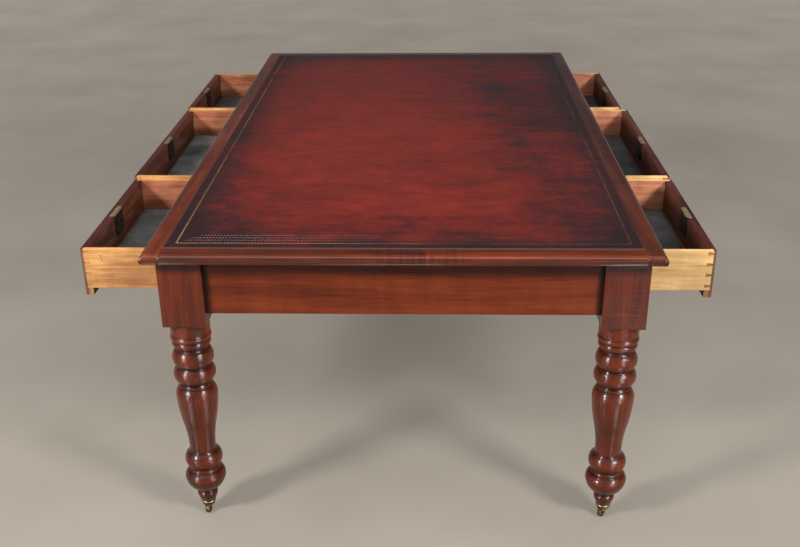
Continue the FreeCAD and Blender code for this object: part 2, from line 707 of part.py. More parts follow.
class Castor:
    """A brass cup castor under one leg, swivelled to its own angle."""

    def __init__(self, name, side, end):
        self.name = name
        self.side = side
        self.end = end
        self.turn = "castor_turn_" + name

    def place(self, obj):
        """Stand a piece on the leg's axis, turned with the swivel."""
        bind(obj, "Placement.Base.x", "%d * leg_x" % self.side)
        bind(obj, "Placement.Base.y", "%d * leg_y" % self.end)
        obj.Placement.Rotation = FreeCAD.Rotation(FreeCAD.Vector(0, 0, 1), value(self.turn))

    def cup(self):
        """The brass cup that holds the foot of the leg."""
        rim = value("cup_radius")
        low = value("cup_foot")
        foot = value("leg_foot")
        top_z = value("cup_rim")
        bore = value("swivel_bore")
        spigot = value("cup_bore")
        rows = [(rim * CUP_FOOT_SHARE, low), (rim, foot), (rim, top_z), (spigot, top_z), (spigot, foot),
                (bore, foot)]
        body = turned("cup_" + self.name, (bore, low), rows, "Z_Axis")
        self.place(body)
        return body

    def fork(self):
        """The swivelling fork: upright pin, round plate, two cheeks and the axle."""
        pin = value("swivel_radius")
        plate = value("plate_radius")
        low = value("plate_under")
        top_z = value("plate_top")
        pin_top = value("pin_top")
        stem = turned("fork_stem_" + self.name, (0, low),
                      [(plate, low), (plate, top_z), (pin, top_z), (pin, pin_top), (0, pin_top)], "Z_Axis")
        half = value("cheek_width") / 2
        trail = -value("wheel_trail")
        axle_z = value("wheel_radius")
        head = CHEEK_HEAD_SHARE * plate
        start = (trail - half, axle_z)
        rows = [(trail, axle_z - half, trail + half, axle_z), (head, low), (-head, low), start]
        cheeks = []
        for sign in (-1, 1):
            cheek = padded("cheek_%s_%d" % (self.name, sign + 1), "YZ_Plane",
                           outline_edges(start, rows), "cheek_thick")
            bind(cheek, "Placement.Base.x", "%d * (wheel_width / 2 + cheek_gap + cheek_thick / 2)" % sign)
            cheeks.append(cheek)
        axle = doc.addObject("Part::Cylinder", "axle_" + self.name)
        reach = "(wheel_width / 2 + cheek_gap + cheek_thick + axle_head)"
        bind(axle, "Radius", "axle_radius")
        bind(axle, "Height", "2 * " + reach)
        axle.Placement.Rotation = FreeCAD.Rotation(FreeCAD.Vector(0, 1, 0), 90)
        at_desk(axle, "-" + reach, "-wheel_trail", "wheel_radius")
        whole = doc.addObject("Part::MultiFuse", "fork_" + self.name)
        whole.Shapes = [stem] + cheeks + [axle]
        self.place(whole)
        keep(whole, "castor_fork_" + self.name)

    def wheel(self):
        """The brass wheel, bored for the axle and slightly crowned."""
        radius = value("wheel_radius")
        half = value("wheel_width") / 2
        crown = value("wheel_crown")
        bore = value("axle_bore")
        flat = half - crown
        rows = [(-half, radius - crown), (-flat, radius), (flat, radius), (half, radius - crown),
                (half, bore)]
        body = turned("wheel_body_" + self.name, (-half, bore), rows, "X_Axis")
        at_desk(body, "0", "-wheel_trail", "wheel_radius")
        whole = group("wheel_" + self.name, [body])
        self.place(whole)
        keep(whole, "castor_wheel_" + self.name)


def legs_and_castors():
    """The four legs with their castors; the four brass cups are kept together."""
    cups = []
    for end, end_word in ((-1, "near"), (1, "far")):
        for side, side_word in ((-1, "left"), (1, "right")):
            name = "%s_%s" % (side_word, end_word)
            leg("leg_" + name, side, end)
            castor = Castor(name, side, end)
            cups.append(castor.cup())
            castor.fork()
            castor.wheel()
    keep(group("castor_cup_pieces", cups), "castor_cups")


def drawers():
    """The six drawers, three on each long side."""
    for side, word in ((-1, "left"), (1, "right")):
        for slot, middle, width in slots():
            Drawer(side, word, slot, middle, width).build()


def check_and_export():
    """Refuse a failed object or an invalid shape, then write one file for each sub-part."""
    doc.recompute()
    failed = [obj.Name for obj in doc.Objects if "Invalid" in obj.State or "Error" in obj.State]
    failed += [obj.Label for obj in exported if obj.Shape.isNull() or not obj.Shape.isValid()]
    if failed:
        raise RuntimeError("not built: " + ", ".join(failed))
    os.makedirs("parts", exist_ok=True)
    for obj in exported:
        obj.Shape.exportStep("parts/%s.step" % obj.Label)
        print("%-28s %d solids %12.1f mm3" % (obj.Label, len(obj.Shape.Solids), obj.Shape.Volume))
    print("%d sub-parts" % len(exported))


top()
legs_and_castors()
frieze()
drawers()
check_and_export()
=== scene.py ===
# %% [markdown]
# # A partners' desk in mahogany and tooled leather
#
# A partners' desk is worked at from both long sides, so each side has its own three drawers. This
# lesson dresses the desk whose solids, joints and sizes come from its frame: a moulded top round a
# sheet of hand dyed leather, a frieze of drawers on pine linings, and four turned legs on brass
# castors. Sizes are real. Lengths are written in millimetres and divided by a thousand where they
# reach Blender, which works in metres, with x across the desk, y from its near to its far end and
# z upwards.

# %% Load the frame
import json
from functools import partial

import bmesh
import bpy
import numpy as np
from mathutils import Matrix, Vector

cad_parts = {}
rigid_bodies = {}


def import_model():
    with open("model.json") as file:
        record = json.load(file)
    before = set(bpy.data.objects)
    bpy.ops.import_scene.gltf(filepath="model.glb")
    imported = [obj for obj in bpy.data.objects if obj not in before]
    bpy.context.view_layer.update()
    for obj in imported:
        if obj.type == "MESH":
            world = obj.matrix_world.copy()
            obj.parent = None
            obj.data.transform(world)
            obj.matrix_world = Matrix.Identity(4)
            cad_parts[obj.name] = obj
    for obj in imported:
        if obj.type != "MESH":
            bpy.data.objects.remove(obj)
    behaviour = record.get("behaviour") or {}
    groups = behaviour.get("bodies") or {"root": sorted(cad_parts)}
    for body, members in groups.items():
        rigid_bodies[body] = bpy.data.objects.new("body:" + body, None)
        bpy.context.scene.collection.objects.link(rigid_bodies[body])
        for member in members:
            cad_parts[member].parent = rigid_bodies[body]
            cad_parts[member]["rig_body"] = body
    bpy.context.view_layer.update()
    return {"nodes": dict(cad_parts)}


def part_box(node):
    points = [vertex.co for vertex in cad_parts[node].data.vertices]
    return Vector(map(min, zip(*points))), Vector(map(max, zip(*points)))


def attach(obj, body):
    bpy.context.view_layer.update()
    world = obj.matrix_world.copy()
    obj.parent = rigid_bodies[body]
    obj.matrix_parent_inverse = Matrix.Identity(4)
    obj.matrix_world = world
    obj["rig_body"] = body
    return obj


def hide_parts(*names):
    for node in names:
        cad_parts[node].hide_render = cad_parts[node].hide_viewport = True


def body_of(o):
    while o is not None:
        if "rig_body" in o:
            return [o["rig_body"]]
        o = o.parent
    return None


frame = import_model()

# %% [markdown]
# ## The camera
#
# The desk is seen from a little above its near end, so that the whole top opens up like a street in
# perspective. A camera's turn is a set of three axes: where it looks, its right hand and its top.
# Three angles give them: how far it turns sideways, how far it tips down and how far it rolls. The
# matrix of these axes says the same as three rotations, without their order to think about.

# %% Place the camera
eye = [0.06807, -3.168875, 1.725138]
yaw, pitch, roll = np.radians([-1.936, 24.854, -0.597])
ahead = np.array([np.sin(yaw) * np.cos(pitch), np.cos(yaw) * np.cos(pitch), -np.sin(pitch)])
level = np.array([np.cos(yaw), -np.sin(yaw), 0.0])
above = np.cross(level, ahead)
right = level * np.cos(roll) + above * np.sin(roll)
top = above * np.cos(roll) - level * np.sin(roll)
turn = np.eye(4)
turn[:3, :] = np.stack([right, top, -ahead, eye], axis=1)
camera = bpy.data.objects.new("camera", bpy.data.cameras.new("camera"))
camera.data.lens = 45.504
camera.data.sensor_width = 36.0
camera.matrix_world = Matrix(turn.tolist())
bpy.context.collection.objects.link(camera)
bpy.context.scene.camera = camera
bpy.context.scene.view_settings.view_transform = "Standard"
print("the camera looks along", ahead.round(3))

# %% [markdown]
# ## Nodes and colours
#
# A material in Blender is a small machine of nodes. Every node has settings, sockets that take a
# value or another node's output, and outputs. One helper adds any of them, so that each material
# below reads as a list of what it is made of. Colours are picked as sRGB hex values, as a paint
# chart gives them, and the renderer adds up light, so one function turns them to linear light.

# %% One helper for nodes, one for colours
def linear(shade):
    """An sRGB hex colour as linear light: c / 12.92 up to 0.04045, else ((c + 0.055) / 1.055) ** 2.4."""
    c = np.array([int(shade[i:i + 2], 16) for i in (1, 3, 5)]) / 255.0
    light = np.where(c <= 0.04045, c / 12.92, ((c + 0.055) / 1.055) ** 2.4)
    return (*light.tolist(), 1.0)


def add(tree, kind, sockets=(), stops=(), **settings):
    """Adds one node and gives its outputs. Sockets are a list or named, stops a colour ramp's."""
    made = tree.nodes.new("ShaderNode" + kind)
    for name, value in settings.items():
        setattr(made, name, value)
    if stops:
        ends = made.color_ramp.elements
        ends[0].position, ends[1].position = stops[0][0], stops[-1][0]
        for place, _ in stops[1:-1]:
            ends.new(place)
        for end, (_, shade) in zip(ends, stops):
            end.color = linear(shade)
    for name, value in dict(sockets if isinstance(sockets, dict) else enumerate(sockets)).items():
        if isinstance(value, bpy.types.NodeSocket):
            tree.links.new(value, made.inputs[name])
        else:
            made.inputs[name].default_value = value
    return made.outputs


def new_material(name, **sockets):
    """A material with one Principled surface: itself, its node adder and a way to link sockets.

    The surface's sockets are named with _ for each space."""
    material = bpy.data.materials.new(name)
    material.use_nodes = True
    tree = material.node_tree
    surface = tree.nodes["Principled BSDF"]
    for socket, value in sockets.items():
        surface.inputs[socket.replace("_", " ")].default_value = value

    def dress(**outputs):
        for socket, output in outputs.items():
            tree.links.new(output, surface.inputs[socket.replace("_", " ")])
        return material

    return partial(add, tree), dress


print("the grey #808080 gives off %.2f of the light of white" % linear("#808080")[0])

# %% [markdown]
# ## The room: a pale floor, a sky and soft light
#
# The desk stands on a floor of matt grey paint, clouded a little so that it doesn't look like paper.
# Lamps light only what is near them, so the paint is also made to glow a little, more towards the
# skyline. It does so only for rays that look at it, from the camera or by way of a mirror, and so it
# stays pale where the lamps don't reach, but throws no light of its own on the desk.

# %% The floor
FLOOR_REACH = 60.0  # metres from its middle to each side


def looked_at(node):
    """1 for a ray from the camera, a mirror or glass, and 0 for one that only carries light."""
    path = node("LightPath")
    seen = node("Math", [path["Is Camera Ray"], path["Is Glossy Ray"]], operation="MAXIMUM")[0]
    return node("Math", [seen, path["Is Transmission Ray"]], operation="MAXIMUM")[0]


node, dress = new_material("matt_floor_paint", Roughness=0.9, Specular_IOR_Level=0.15)
spot = node("TexCoord")["Object"]
cloud = node("TexNoise", {"Vector": spot, "Scale": 1.6, "Detail": 3.0})["Fac"]
shade = node("ValToRGB", [cloud], stops=[(0.3, "#7a736a"), (0.7, "#837c73")])["Color"]
away = node("VectorMath", [spot], operation="LENGTH")["Value"]
glow = node("MapRange", [away, 3.0, 14.0, 0.8, 2.0])[0]
glow = node("Math", [looked_at(node), glow], operation="MULTIPLY")[0]
floor_paint = dress(Base_Color=shade, Emission_Color=shade, Emission_Strength=glow)

floor_mesh = bpy.data.meshes.new("floor")
corners = [(x * FLOOR_REACH, y * FLOOR_REACH, 0) for x, y in ((-1, -1), (1, -1), (1, 1), (-1, 1))]
floor_mesh.from_pydata(corners, [], [(0, 1, 2, 3)])
floor_mesh.materials.append(floor_paint)
floor = bpy.data.objects.new("floor", floor_mesh)
bpy.context.collection.objects.link(floor)
print("the floor reaches", FLOOR_REACH, "m each way")

# %% [markdown]
# The sky is a ramp of greys over the height of each direction. It is dim wherever the polished top
# would mirror it, and pale at the skyline, where it meets the floor. A ray that only carries light
# sees it at half strength, so that the lamps shape the desk.

# %% The sky
sky = bpy.data.worlds.new("studio")
sky.use_nodes = True
bpy.context.scene.world = sky
sky.node_tree.nodes.clear()
node = partial(add, sky.node_tree)
height = node("SeparateXYZ", [node("TexCoord")["Generated"]])["Z"]
glow = node("ValToRGB", [height], stops=[
    (0.00, "#b4afa7"), (0.06, "#b4afa7"), (0.14, "#7a7e86"), (0.27, "#666a72"), (0.40, "#262626"),
    (0.62, "#242323"), (0.88, "#7c7c7c")])["Color"]
strength = node("Math", [looked_at(node), 0.5], operation="MAXIMUM")[0]
node("OutputWorld", [node("Background", [glow, strength])[0]])
print("nodes of the sky:", len(sky.node_tree.nodes))

# %% [markdown]
# Two square lamps in front, one each side and well above the top, stand for studio soft boxes. They
# leave the dark band under the moulding that shows how far it stands out, and on the turned legs
# they make the pairs of small bright marks that show a polish. A wide scrim overhead lights the
# linings of the open drawers and is what the round of the near edge mirrors as a soft pale band. The
# gleams are there only to be mirrored. Seen from above, an upright turning mirrors what stands in
# front of it where it swells, and the floor before it elsewhere, so two tall strips and three strips
# laid on the floor draw the long gleams down the legs. Two weak screens behind only light, so that
# the back doesn't go black and no rim shines white.

# %% The lamps
# Each has a name, its place and the point it is aimed at, its width and length in metres, and watts
for name, place, aim, wide, deep, watts in (
    ("soft_box_left", (-2.60, -2.70, 2.58), (-0.25, -0.7, 0.6), 0.65, 0.65, 132.0),
    ("soft_box_right", (2.86, -3.16, 3.05), (0.30, -0.7, 0.6), 0.9, 0.9, 165.0),
    ("overhead_scrim", (0.0, -1.30, 3.0), (0.0, -1.29, 0.0), 3.4, 1.4, 34.0),
    ("tall_gleam_left", (-2.20, -3.00, 0.75), (-0.5, -0.97, 0.35), 0.35, 1.2, 26.0),
    ("tall_gleam_right", (1.60, -2.90, 0.75), (0.5, -0.97, 0.35), 0.35, 1.2, 26.0),
    ("low_gleam_1", (-0.84, -1.42, 0.01), (-0.845, -1.428, 1.0), 0.07, 0.45, 0.6),
    ("low_gleam_2", (-0.08, -1.28, 0.01), (-0.072, -1.286, 1.0), 0.07, 0.45, 0.6),
    ("low_gleam_3", (0.70, -1.49, 0.01), (0.703, -1.499, 1.0), 0.07, 0.45, 0.7),
    ("screen_back_left", (-5.2, 4.4, 3.9), (0.0, 0.6, 0.5), 2.4, 2.4, 70.0),
    ("screen_back_right", (5.2, 4.4, 3.9), (0.0, 0.6, 0.5), 2.4, 2.4, 70.0),
):
    lamp = bpy.data.objects.new(name, bpy.data.lights.new(name, "AREA"))
    lamp.data.shape = "RECTANGLE"
    lamp.data.size, lamp.data.size_y = wide, deep
    lamp.data.energy = watts
    lamp.visible_camera = False
    lamp.visible_diffuse = "gleam" not in name
    lamp.visible_glossy = not name.startswith("screen")
    back = np.array(place) - np.array(aim)
    back /= np.linalg.norm(back)
    across = np.cross([0.0, 0.0, 1.0], back)
    across /= np.linalg.norm(across)
    stand = np.eye(4)
    stand[:3, :] = np.stack([across, np.cross(back, across), back, place], axis=1)
    lamp.matrix_world = Matrix(stand.tolist())
    bpy.context.collection.objects.link(lamp)

# %% [markdown]
# ## Timber
#
# A board is a slice of a tree, so its pattern is drawn out along the grain: broad bands of growth,
# fine streaks of fibre, and short pores that take up stain. Each is a noise whose coordinates are
# squeezed along the grain, and the pattern is solid, so it runs on round an edge or a turning as it
# does in real timber. One function makes any board from the direction of its grain and its colours,
# and every piece is cut from another place in the tree by a shift.

# %% The grain
def grain_noise(node, grain, shift):
    """A way to draw noise along the grain, which is X, Y or Z, in a board cut from that shift."""
    spot = node("TexCoord")["Object"]

    def drawn(across, along, detail, twist=0.0):
        """Noise as wide across the grain and as long along it as these millimetres."""
        size = [1000.0 / across] * 3
        size["XYZ".index(grain)] = 1000.0 / along
        place = node("Mapping", {"Vector": spot, "Location": shift, "Scale": size})[0]
        return node("TexNoise", {"Vector": place, "Scale": 1.0, "Detail": detail, "Roughness": 0.58,
                                 "Distortion": twist})["Fac"]

    return drawn


print("a streak 3.2 mm wide is drawn", 3.2 * 45, "mm long")

# %% [markdown]
# Figure, wax and hands each leave a mark on old timber, and some marks are painted light: a painted
# sheen, and painted shade in the grooves of turnings and along the joints of the aprons. A mark is a
# layer over the wood: how much of it there is at a point, with its colour, or with no colour where it
# only makes the wood brighter or darker. Where a mark lies is mostly kept in a value on the points of
# the piece, which an Attribute node reads by its name. The painted shade on the aprons lies in
# straight bands along their joints, so it is worked out from the place instead.

# %% Marks on old timber
def layers(node, drawn, marks):
    """Marks as a list of (share, colour) or (brightness, None), with the last one to come on top."""
    field = {mark: node("Attribute", attribute_name=mark)["Fac"] for mark in marks if mark != "painted_joint_shade"}
    made = []
    if "crossed" in marks:
        curl = node("MapRange", [drawn(160.0, 9.0, 3.0), 0.36, 0.64, 0.62, 1.4])[0]
        curl = node("Mix", {0: field["crossed"], 2: 1.0, 3: curl}, data_type="FLOAT")[0]
        made.append((curl, None))
    # Painted sheen and highlight: the flat of the left strip and the top of the near round made brighter
    if "painted_sheen" in marks:
        made.append((node("Math", [field["painted_sheen"], 0.45, 1.0], operation="MULTIPLY_ADD")[0], None))
    if "painted_joint_shade" in marks:
        # Painted shade beside the legs and under the top: 16 mm in from an apron's ends, 22 mm down from
        # its top
        axes = node("SeparateXYZ", [node("TexCoord")["Object"]])
        ends = node("Math", [axes["X"]], operation="ABSOLUTE")[0]
        ends = node("MapRange", [ends, 0.459, 0.469, 0.0, 0.92])[0]
        above = node("MapRange", [axes["Z"], 0.742, 0.762, 0.0, 0.88])[0]
        made.append((node("Math", [ends, above], operation="MAXIMUM")[0], "#150805"))
    # Dark in the grooves, partly old wax and partly painted shade, and darker towards the feet
    if "wax_and_shade" in marks:
        made.append((node("Math", [field["wax_and_shade"], 0.72], operation="MULTIPLY")[0], "#1d0b07"))
    if "rubbed" in marks:
        patch = node("Math", [drawn(9.0, 30.0, 3.0), 0.9, field["rubbed"]], operation="MULTIPLY_ADD")[0]
        made.append((node("MapRange", [patch, 0.85, 1.3])[0], "#b98a6a"))
    return made


print("marks: crossed, faded, grimed, waxed, rubbed")

# %% [markdown]
# With its grain and its marks, a board is finished with shellac, which is a clear coat over the wood.
# A new coat is smooth and mirrors lamps as sharp spots, and a worn one spreads them. On a turning the
# tool leaves fine rings, which draw a spot of light out into a long gleam.

# %% Any board
# Marks of the lathe are 1.3 mm apart along the axis, and run right round it
TURNING = {"X": (770.0, 2.0, 2.0), "Z": (2.0, 2.0, 770.0)}


def timber(name, grain, shift, shades, polish, sheen, gloss=0.1, pores=0.3, bands=45.0, streaks=3.2,
           blush=None, marks=(), bend=1.42):
    """Timber with its grain along X, Y or Z. Bands and streaks are their real widths in millimetres.

    Polish is the weight of the coat of shellac, sheen how rough that coat is, bend its index of
    refraction, and gloss the wood's own. Blush is a second colour that comes in clouds. A turning,
    marked with dark wax and painted shade in its grooves, has come off the lathe, and wood that is
    rubbed bare is rougher."""
    node, dress = new_material(name, Coat_Weight=polish, Coat_Roughness=sheen, Coat_IOR=bend, IOR=1.5,
                               Specular_IOR_Level=gloss)
    drawn = grain_noise(node, grain, shift)
    growth = drawn(bands, bands * 14, 3.0, 0.9)
    fibre = drawn(streaks, streaks * 45, 3.0)
    # Real pores are 0.2 mm wide, and are drawn 0.8 mm wide so that they show
    pore = node("MapRange", [drawn(0.8, 16.0, 1.0), 0.54, 0.68])[0]
    mix = node("Mix", {0: 0.3, 2: growth, 3: fibre}, data_type="FLOAT")[0]
    shade = node("ValToRGB", [mix], stops=list(zip((0.32, 0.45, 0.55, 0.68), shades)))[0]

    over = [(node("MapRange", [drawn(120.0, 45.0, 2.0), 0.3, 0.7, 0.86, 1.12])[0], None)]
    if blush:
        over.append((node("MapRange", [drawn(38.0, 130.0, 4.0, 0.5), 0.46, 0.66, 0.0, 0.75])[0], blush))
    over.append((node("Math", [pore, pores], operation="MULTIPLY")[0], shades[0]))
    over += layers(node, drawn, marks)
    for share, tint in over:
        if tint:
            shade = node("Mix", {0: share, 6: shade, 7: linear(tint)}, data_type="RGBA")[2]
        else:
            shade = node("VectorMath", {0: shade, "Scale": share}, operation="SCALE")[0]

    if "rubbed" in marks:
        rough = node("MapRange", [over[-1][0], 0.0, 1.0, 0.42, 0.6])[0]
    else:
        rough = node("MapRange", [fibre, 0.3, 0.7, 0.34, 0.5])[0]
    relief = node("Math", [pore, -0.6, fibre], operation="MULTIPLY_ADD")[0]
    bump = node("Bump", {"Height": relief, "Strength": 0.22, "Distance": 0.0003})[0]
    if "wax_and_shade" in marks:
        spot = node("TexCoord")["Object"]
        place = node("Mapping", {"Vector": spot, "Scale": TURNING[grain]})[0]
        rings = node("TexNoise", {"Vector": place, "Scale": 1.0, "Detail": 1.0})["Fac"]
        bump = node("Bump", {"Height": rings, "Strength": 0.8, "Distance": 0.0004, "Normal": bump})[0]
        dress(Coat_Normal=node("Bump", {"Height": rings, "Strength": 1.0, "Distance": 0.0005})[0])
    return dress(Base_Color=shade, Roughness=rough, Normal=bump)


print("the lathe leaves a ring every %.1f mm" % (1000.0 / TURNING["Z"][2]))

# %% [markdown]
# ## Shapes from arrays
#
# New pieces are grids of points worked out by a formula, and the points are numbered row by row.
# Four neighbours make a face. Where the rows or columns run round, as on a turning, the last ones
# are joined to the first.

# %% Faces of a grid
def grid_faces(rows, columns, ring=False, loop=False):
    """Faces over points numbered row by row: (i, j), (i, j + 1), (i + 1, j + 1), (i + 1, j)."""
    i, j = np.meshgrid(np.arange(rows - (not loop)), np.arange(columns - (not ring)), indexing="ij")
    up, on = (i + 1) % rows, (j + 1) % columns
    corners = [i * columns + j, i * columns + on, up * columns + on, up * columns + j]
    return np.stack(corners, -1).reshape(-1, 4)


def closed_grid(grid):
    """Faces of a grid of points and one more face round its rim, which closes the underside."""
    rows, columns = grid.shape[:2]
    index = np.arange(rows * columns).reshape(rows, columns)
    rim = np.concatenate([index[0, :], index[1:, -1], index[-1, -2::-1], index[-2:0:-1, 0]])
    return grid, grid_faces(rows, columns).tolist() + [rim[::-1].tolist()]


print("a grid of 3 by 4 points has", len(grid_faces(3, 4)), "faces")

# %% [markdown]
# Every piece is put together in the same way. Its arrays go into a mesh with any values that the
# material reads, points that met are merged, the faces are turned outwards, and it is said which
# part of the desk the piece moves with and which solid it stands for. A Weighted Normal modifier
# keeps large flat faces flat in the light, where they meet a narrow rounded edge.

# %% Put a piece together
SAME_POINT = 0.002 / 1000  # points closer than 0.002 mm are one point


def tidy(mesh):
    """Merges points that met, and turns all faces outwards."""
    work = bmesh.new()
    work.from_mesh(mesh)
    bmesh.ops.remove_doubles(work, verts=work.verts, dist=SAME_POINT)
    bmesh.ops.recalc_face_normals(work, faces=work.faces)
    work.to_mesh(mesh)
    work.free()


def piece(name, shells, material, body, nodes=(), values=None, flat=False):
    """One piece of the desk from shells, each the points (in mm) and faces of a closed surface."""
    points, faces, first = [], [], 0
    for shell_points, shell_faces in shells:
        points.append(shell_points.reshape(-1, 3))
        faces += [[int(v) + first for v in face] for face in shell_faces]
        first += len(points[-1])
    points = np.concatenate(points)
    mesh = bpy.data.meshes.new(name)
    mesh.from_pydata(points / 1000.0, [], faces)
    for title, numbers in (values or {}).items():
        field = mesh.attributes.new(title, "FLOAT", "POINT")
        field.data.foreach_set("value", numbers(points).astype(np.float32).ravel())
    tidy(mesh)
    mesh.shade_smooth()
    mesh.materials.append(material)
    made = bpy.data.objects.new(name, mesh)
    bpy.context.collection.objects.link(made)
    if flat:
        made.modifiers.new("flat_faces", "WEIGHTED_NORMAL").weight = 100
    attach(made, body)
    if nodes:
        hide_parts(*nodes)
    print(name, "has", len(mesh.polygons), "faces")
    return made


print("points closer than", SAME_POINT, "m are merged")

# %% [markdown]
# ## The leather
#
# The writing surface is one hide, dyed dark over red and rubbed back, which leaves the middle a
# warm ox blood red and the edges and the folds of the hide nearly black. The dye could be painted,
# but it is only a few soft pools, so it is a sum of round falls of depth, kept on the points of a
# fine grid; one pool, which lightens the far end, is a painted sheen. The tooling follows the edge,
# so it is drawn from the distance to a rectangle.

# %% Dye the leather
LEATHER = (563.0, 1008.0)  # half its width and half its length
HIDE_FACE = 786.7  # height of its face
POOLS = [  # middle x and y, half width and half length, depth of the dark dye
    (390, 330, 165, 300, 0.50), (410, 20, 130, 150, 0.34), (285, 440, 95, 110, 0.26),
    (240, 105, 70, 38, 0.30), (330, -230, 90, 85, 0.14), (340, -745, 80, 55, 0.20),
    (500, -880, 110, 100, 0.24), (-480, -880, 120, 95, 0.30), (60, 335, 60, 45, 0.12),
    (330, 800, 240, 230, 0.34), (-80, 985, 480, 90, 0.24), (60, -390, 60, 80, 0.08),
    (-250, 640, 300, 260, 0.02), (120, 640, 90, 170, 0.12), (-570, -600, 50, 420, 0.10),
    (-190, 20, 250, 460, -0.20), (-535, 150, 34, 700, 0.12), (60, -720, 300, 150, -0.04),
    # The pool at (-60, 800) with a depth of -0.13 lightens the far end: a painted sheen, not dye
    (480, -430, 40, 110, -0.12), (-455, -560, 34, 40, -0.16), (-60, 800, 420, 170, -0.13),
    (0, -935, 620, 115, 0.42), (405, -450, 185, 400, 0.30), (-475, -690, 110, 190, 0.34),
    (-395, -800, 95, 80, 0.18), (-480, -330, 50, 150, 0.16), (-360, -900, 150, 60, 0.10),
]


def dye(points):
    """1 in bare red hide and 0 in black dye: 1 less a fall from each edge and less each pool.

    A fall from an edge at distance d is exp(-(d / reach) ** 1.6), a pool exp(-(u ** 2 + v ** 2))."""
    x, y = points[:, 0], points[:, 1]
    half, end = LEATHER
    red = np.ones(len(points))
    for distance, reach, depth in ((x + half, 78, 0.68), (half - x, 74, 0.75), (y + end, 42, 0.62),
                                   (end - y, 90, 0.62)):
        red -= depth * np.exp(-(np.maximum(distance, 0) / reach) ** 1.6)
    for cx, cy, wide, long, depth in POOLS:
        red -= depth * np.exp(-(((x - cx) / wide) ** 2 + ((y - cy) / long) ** 2))
    return np.clip(red, 0.0, 1.2)


def leather_sheet():
    """A slab 1.4 mm thick: rings of points step in from its edge, over a rounded rim, to a flat grid."""
    inset = np.array([0.0, 0.0, 0.12, 0.4, 0.9])
    drop = np.array([1.4, 0.6, 0.25, 0.06, 0.0])
    lines = []
    for half, count in zip(LEATHER, (96, 168)):
        flat = np.linspace(-half + 8, half - 8, count)
        place = np.concatenate([-half + inset, flat, (half - inset)[::-1]])
        lines.append((place, HIDE_FACE - np.concatenate([drop, 0 * flat, drop[::-1]])))
    (x, zx), (y, zy) = lines
    height = np.minimum(zx[None, :], zy[:, None])
    return closed_grid(np.stack(np.broadcast_arrays(x[None, :], y[:, None], height), -1))


print("pools of dye:", len(POOLS))

# %% [markdown]
# Gilt tooling is gold leaf pressed into the leather with a warm brass roll: two hair lines with a row
# of dashes between. Inside it run three blind lines, pressed with the same tool but no leaf. All of
# them are rectangles, and how far a point is outside a rectangle is the larger of how far it is
# outside along x and along y, so each line is a narrow range of that distance.

# %% Tooling
GILT_LINE = (537.0, 976.5)  # half the width and half the length of the rectangle it runs round
BLIND_LINES = (-18.0, -33.0, -48.0)  # millimetres outside it, so these lie inside


def tooling(node, spot):
    """How much gold leaf and how much of a blind dash, how far outside, and 1 along an end edge."""
    axes = node("SeparateXYZ", [spot])
    far = []
    for axis, half in zip("XY", GILT_LINE):
        off = node("Math", [axes[axis]], operation="ABSOLUTE")[0]
        far.append(node("Math", [off, half / 1000], operation="SUBTRACT")[0])
    outside = node("Math", far, operation="MAXIMUM")[0]
    outside = node("Math", [outside, 1000.0], operation="MULTIPLY")[0]
    along = node("Math", [axes["X"], axes["Y"]], operation="ADD")[0]

    def line(centre, half_width):
        """1 on a line this many millimetres outside the gilt one, and 0 beside it."""
        off = node("Math", [outside, centre], operation="SUBTRACT")[0]
        off = node("Math", [off], operation="ABSOLUTE")[0]
        return node("MapRange", [off, half_width, half_width + 0.25, 1.0, 0.0])[0]

    def dashes(drawn, pitch, share):
        """Breaks a line into dashes that repeat every so many millimetres."""
        beat = node("Math", [along, 1000.0 / pitch], operation="MULTIPLY")[0]
        beat = node("Math", [beat], operation="FRACT")[0]
        on = node("Math", [beat, share], operation="LESS_THAN")[0]
        return node("Math", [drawn, on], operation="MULTIPLY")[0]

    leaf = node("Math", [line(-1.5, 0.35), line(1.5, 0.35)], operation="MAXIMUM")[0]
    leaf = node("Math", [leaf, 0.5], operation="MULTIPLY")[0]
    leaf = node("Math", [leaf, dashes(line(0.0, 1.3), 8.0, 0.55)], operation="MAXIMUM")[0]
    blind = line(BLIND_LINES[0], 0.8)
    for centre in BLIND_LINES[1:]:
        blind = node("Math", [blind, line(centre, 0.8)], operation="MAXIMUM")[0]
    return leaf, dashes(blind, 8.0, 0.5), outside, node("Math", far[::-1], operation="GREATER_THAN")[0]


print("the gilt line lies", LEATHER[0] - GILT_LINE[0], "mm in from the edge of the hide")

# %% [markdown]
# Leather is tanned skin with a dyed and waxed face. Its pebble is about 0.6 mm across, drawn here as
# 1.6 mm so that it shows, and it breaks the gloss into a satin. The dye was wiped on and off by hand,
# so it is uneven in clouds, in streaks along the hide's width and in fine flecks. Sleeves have worn
# the leaf off in places and polished it in others, and frayed the very edge of the hide pale.

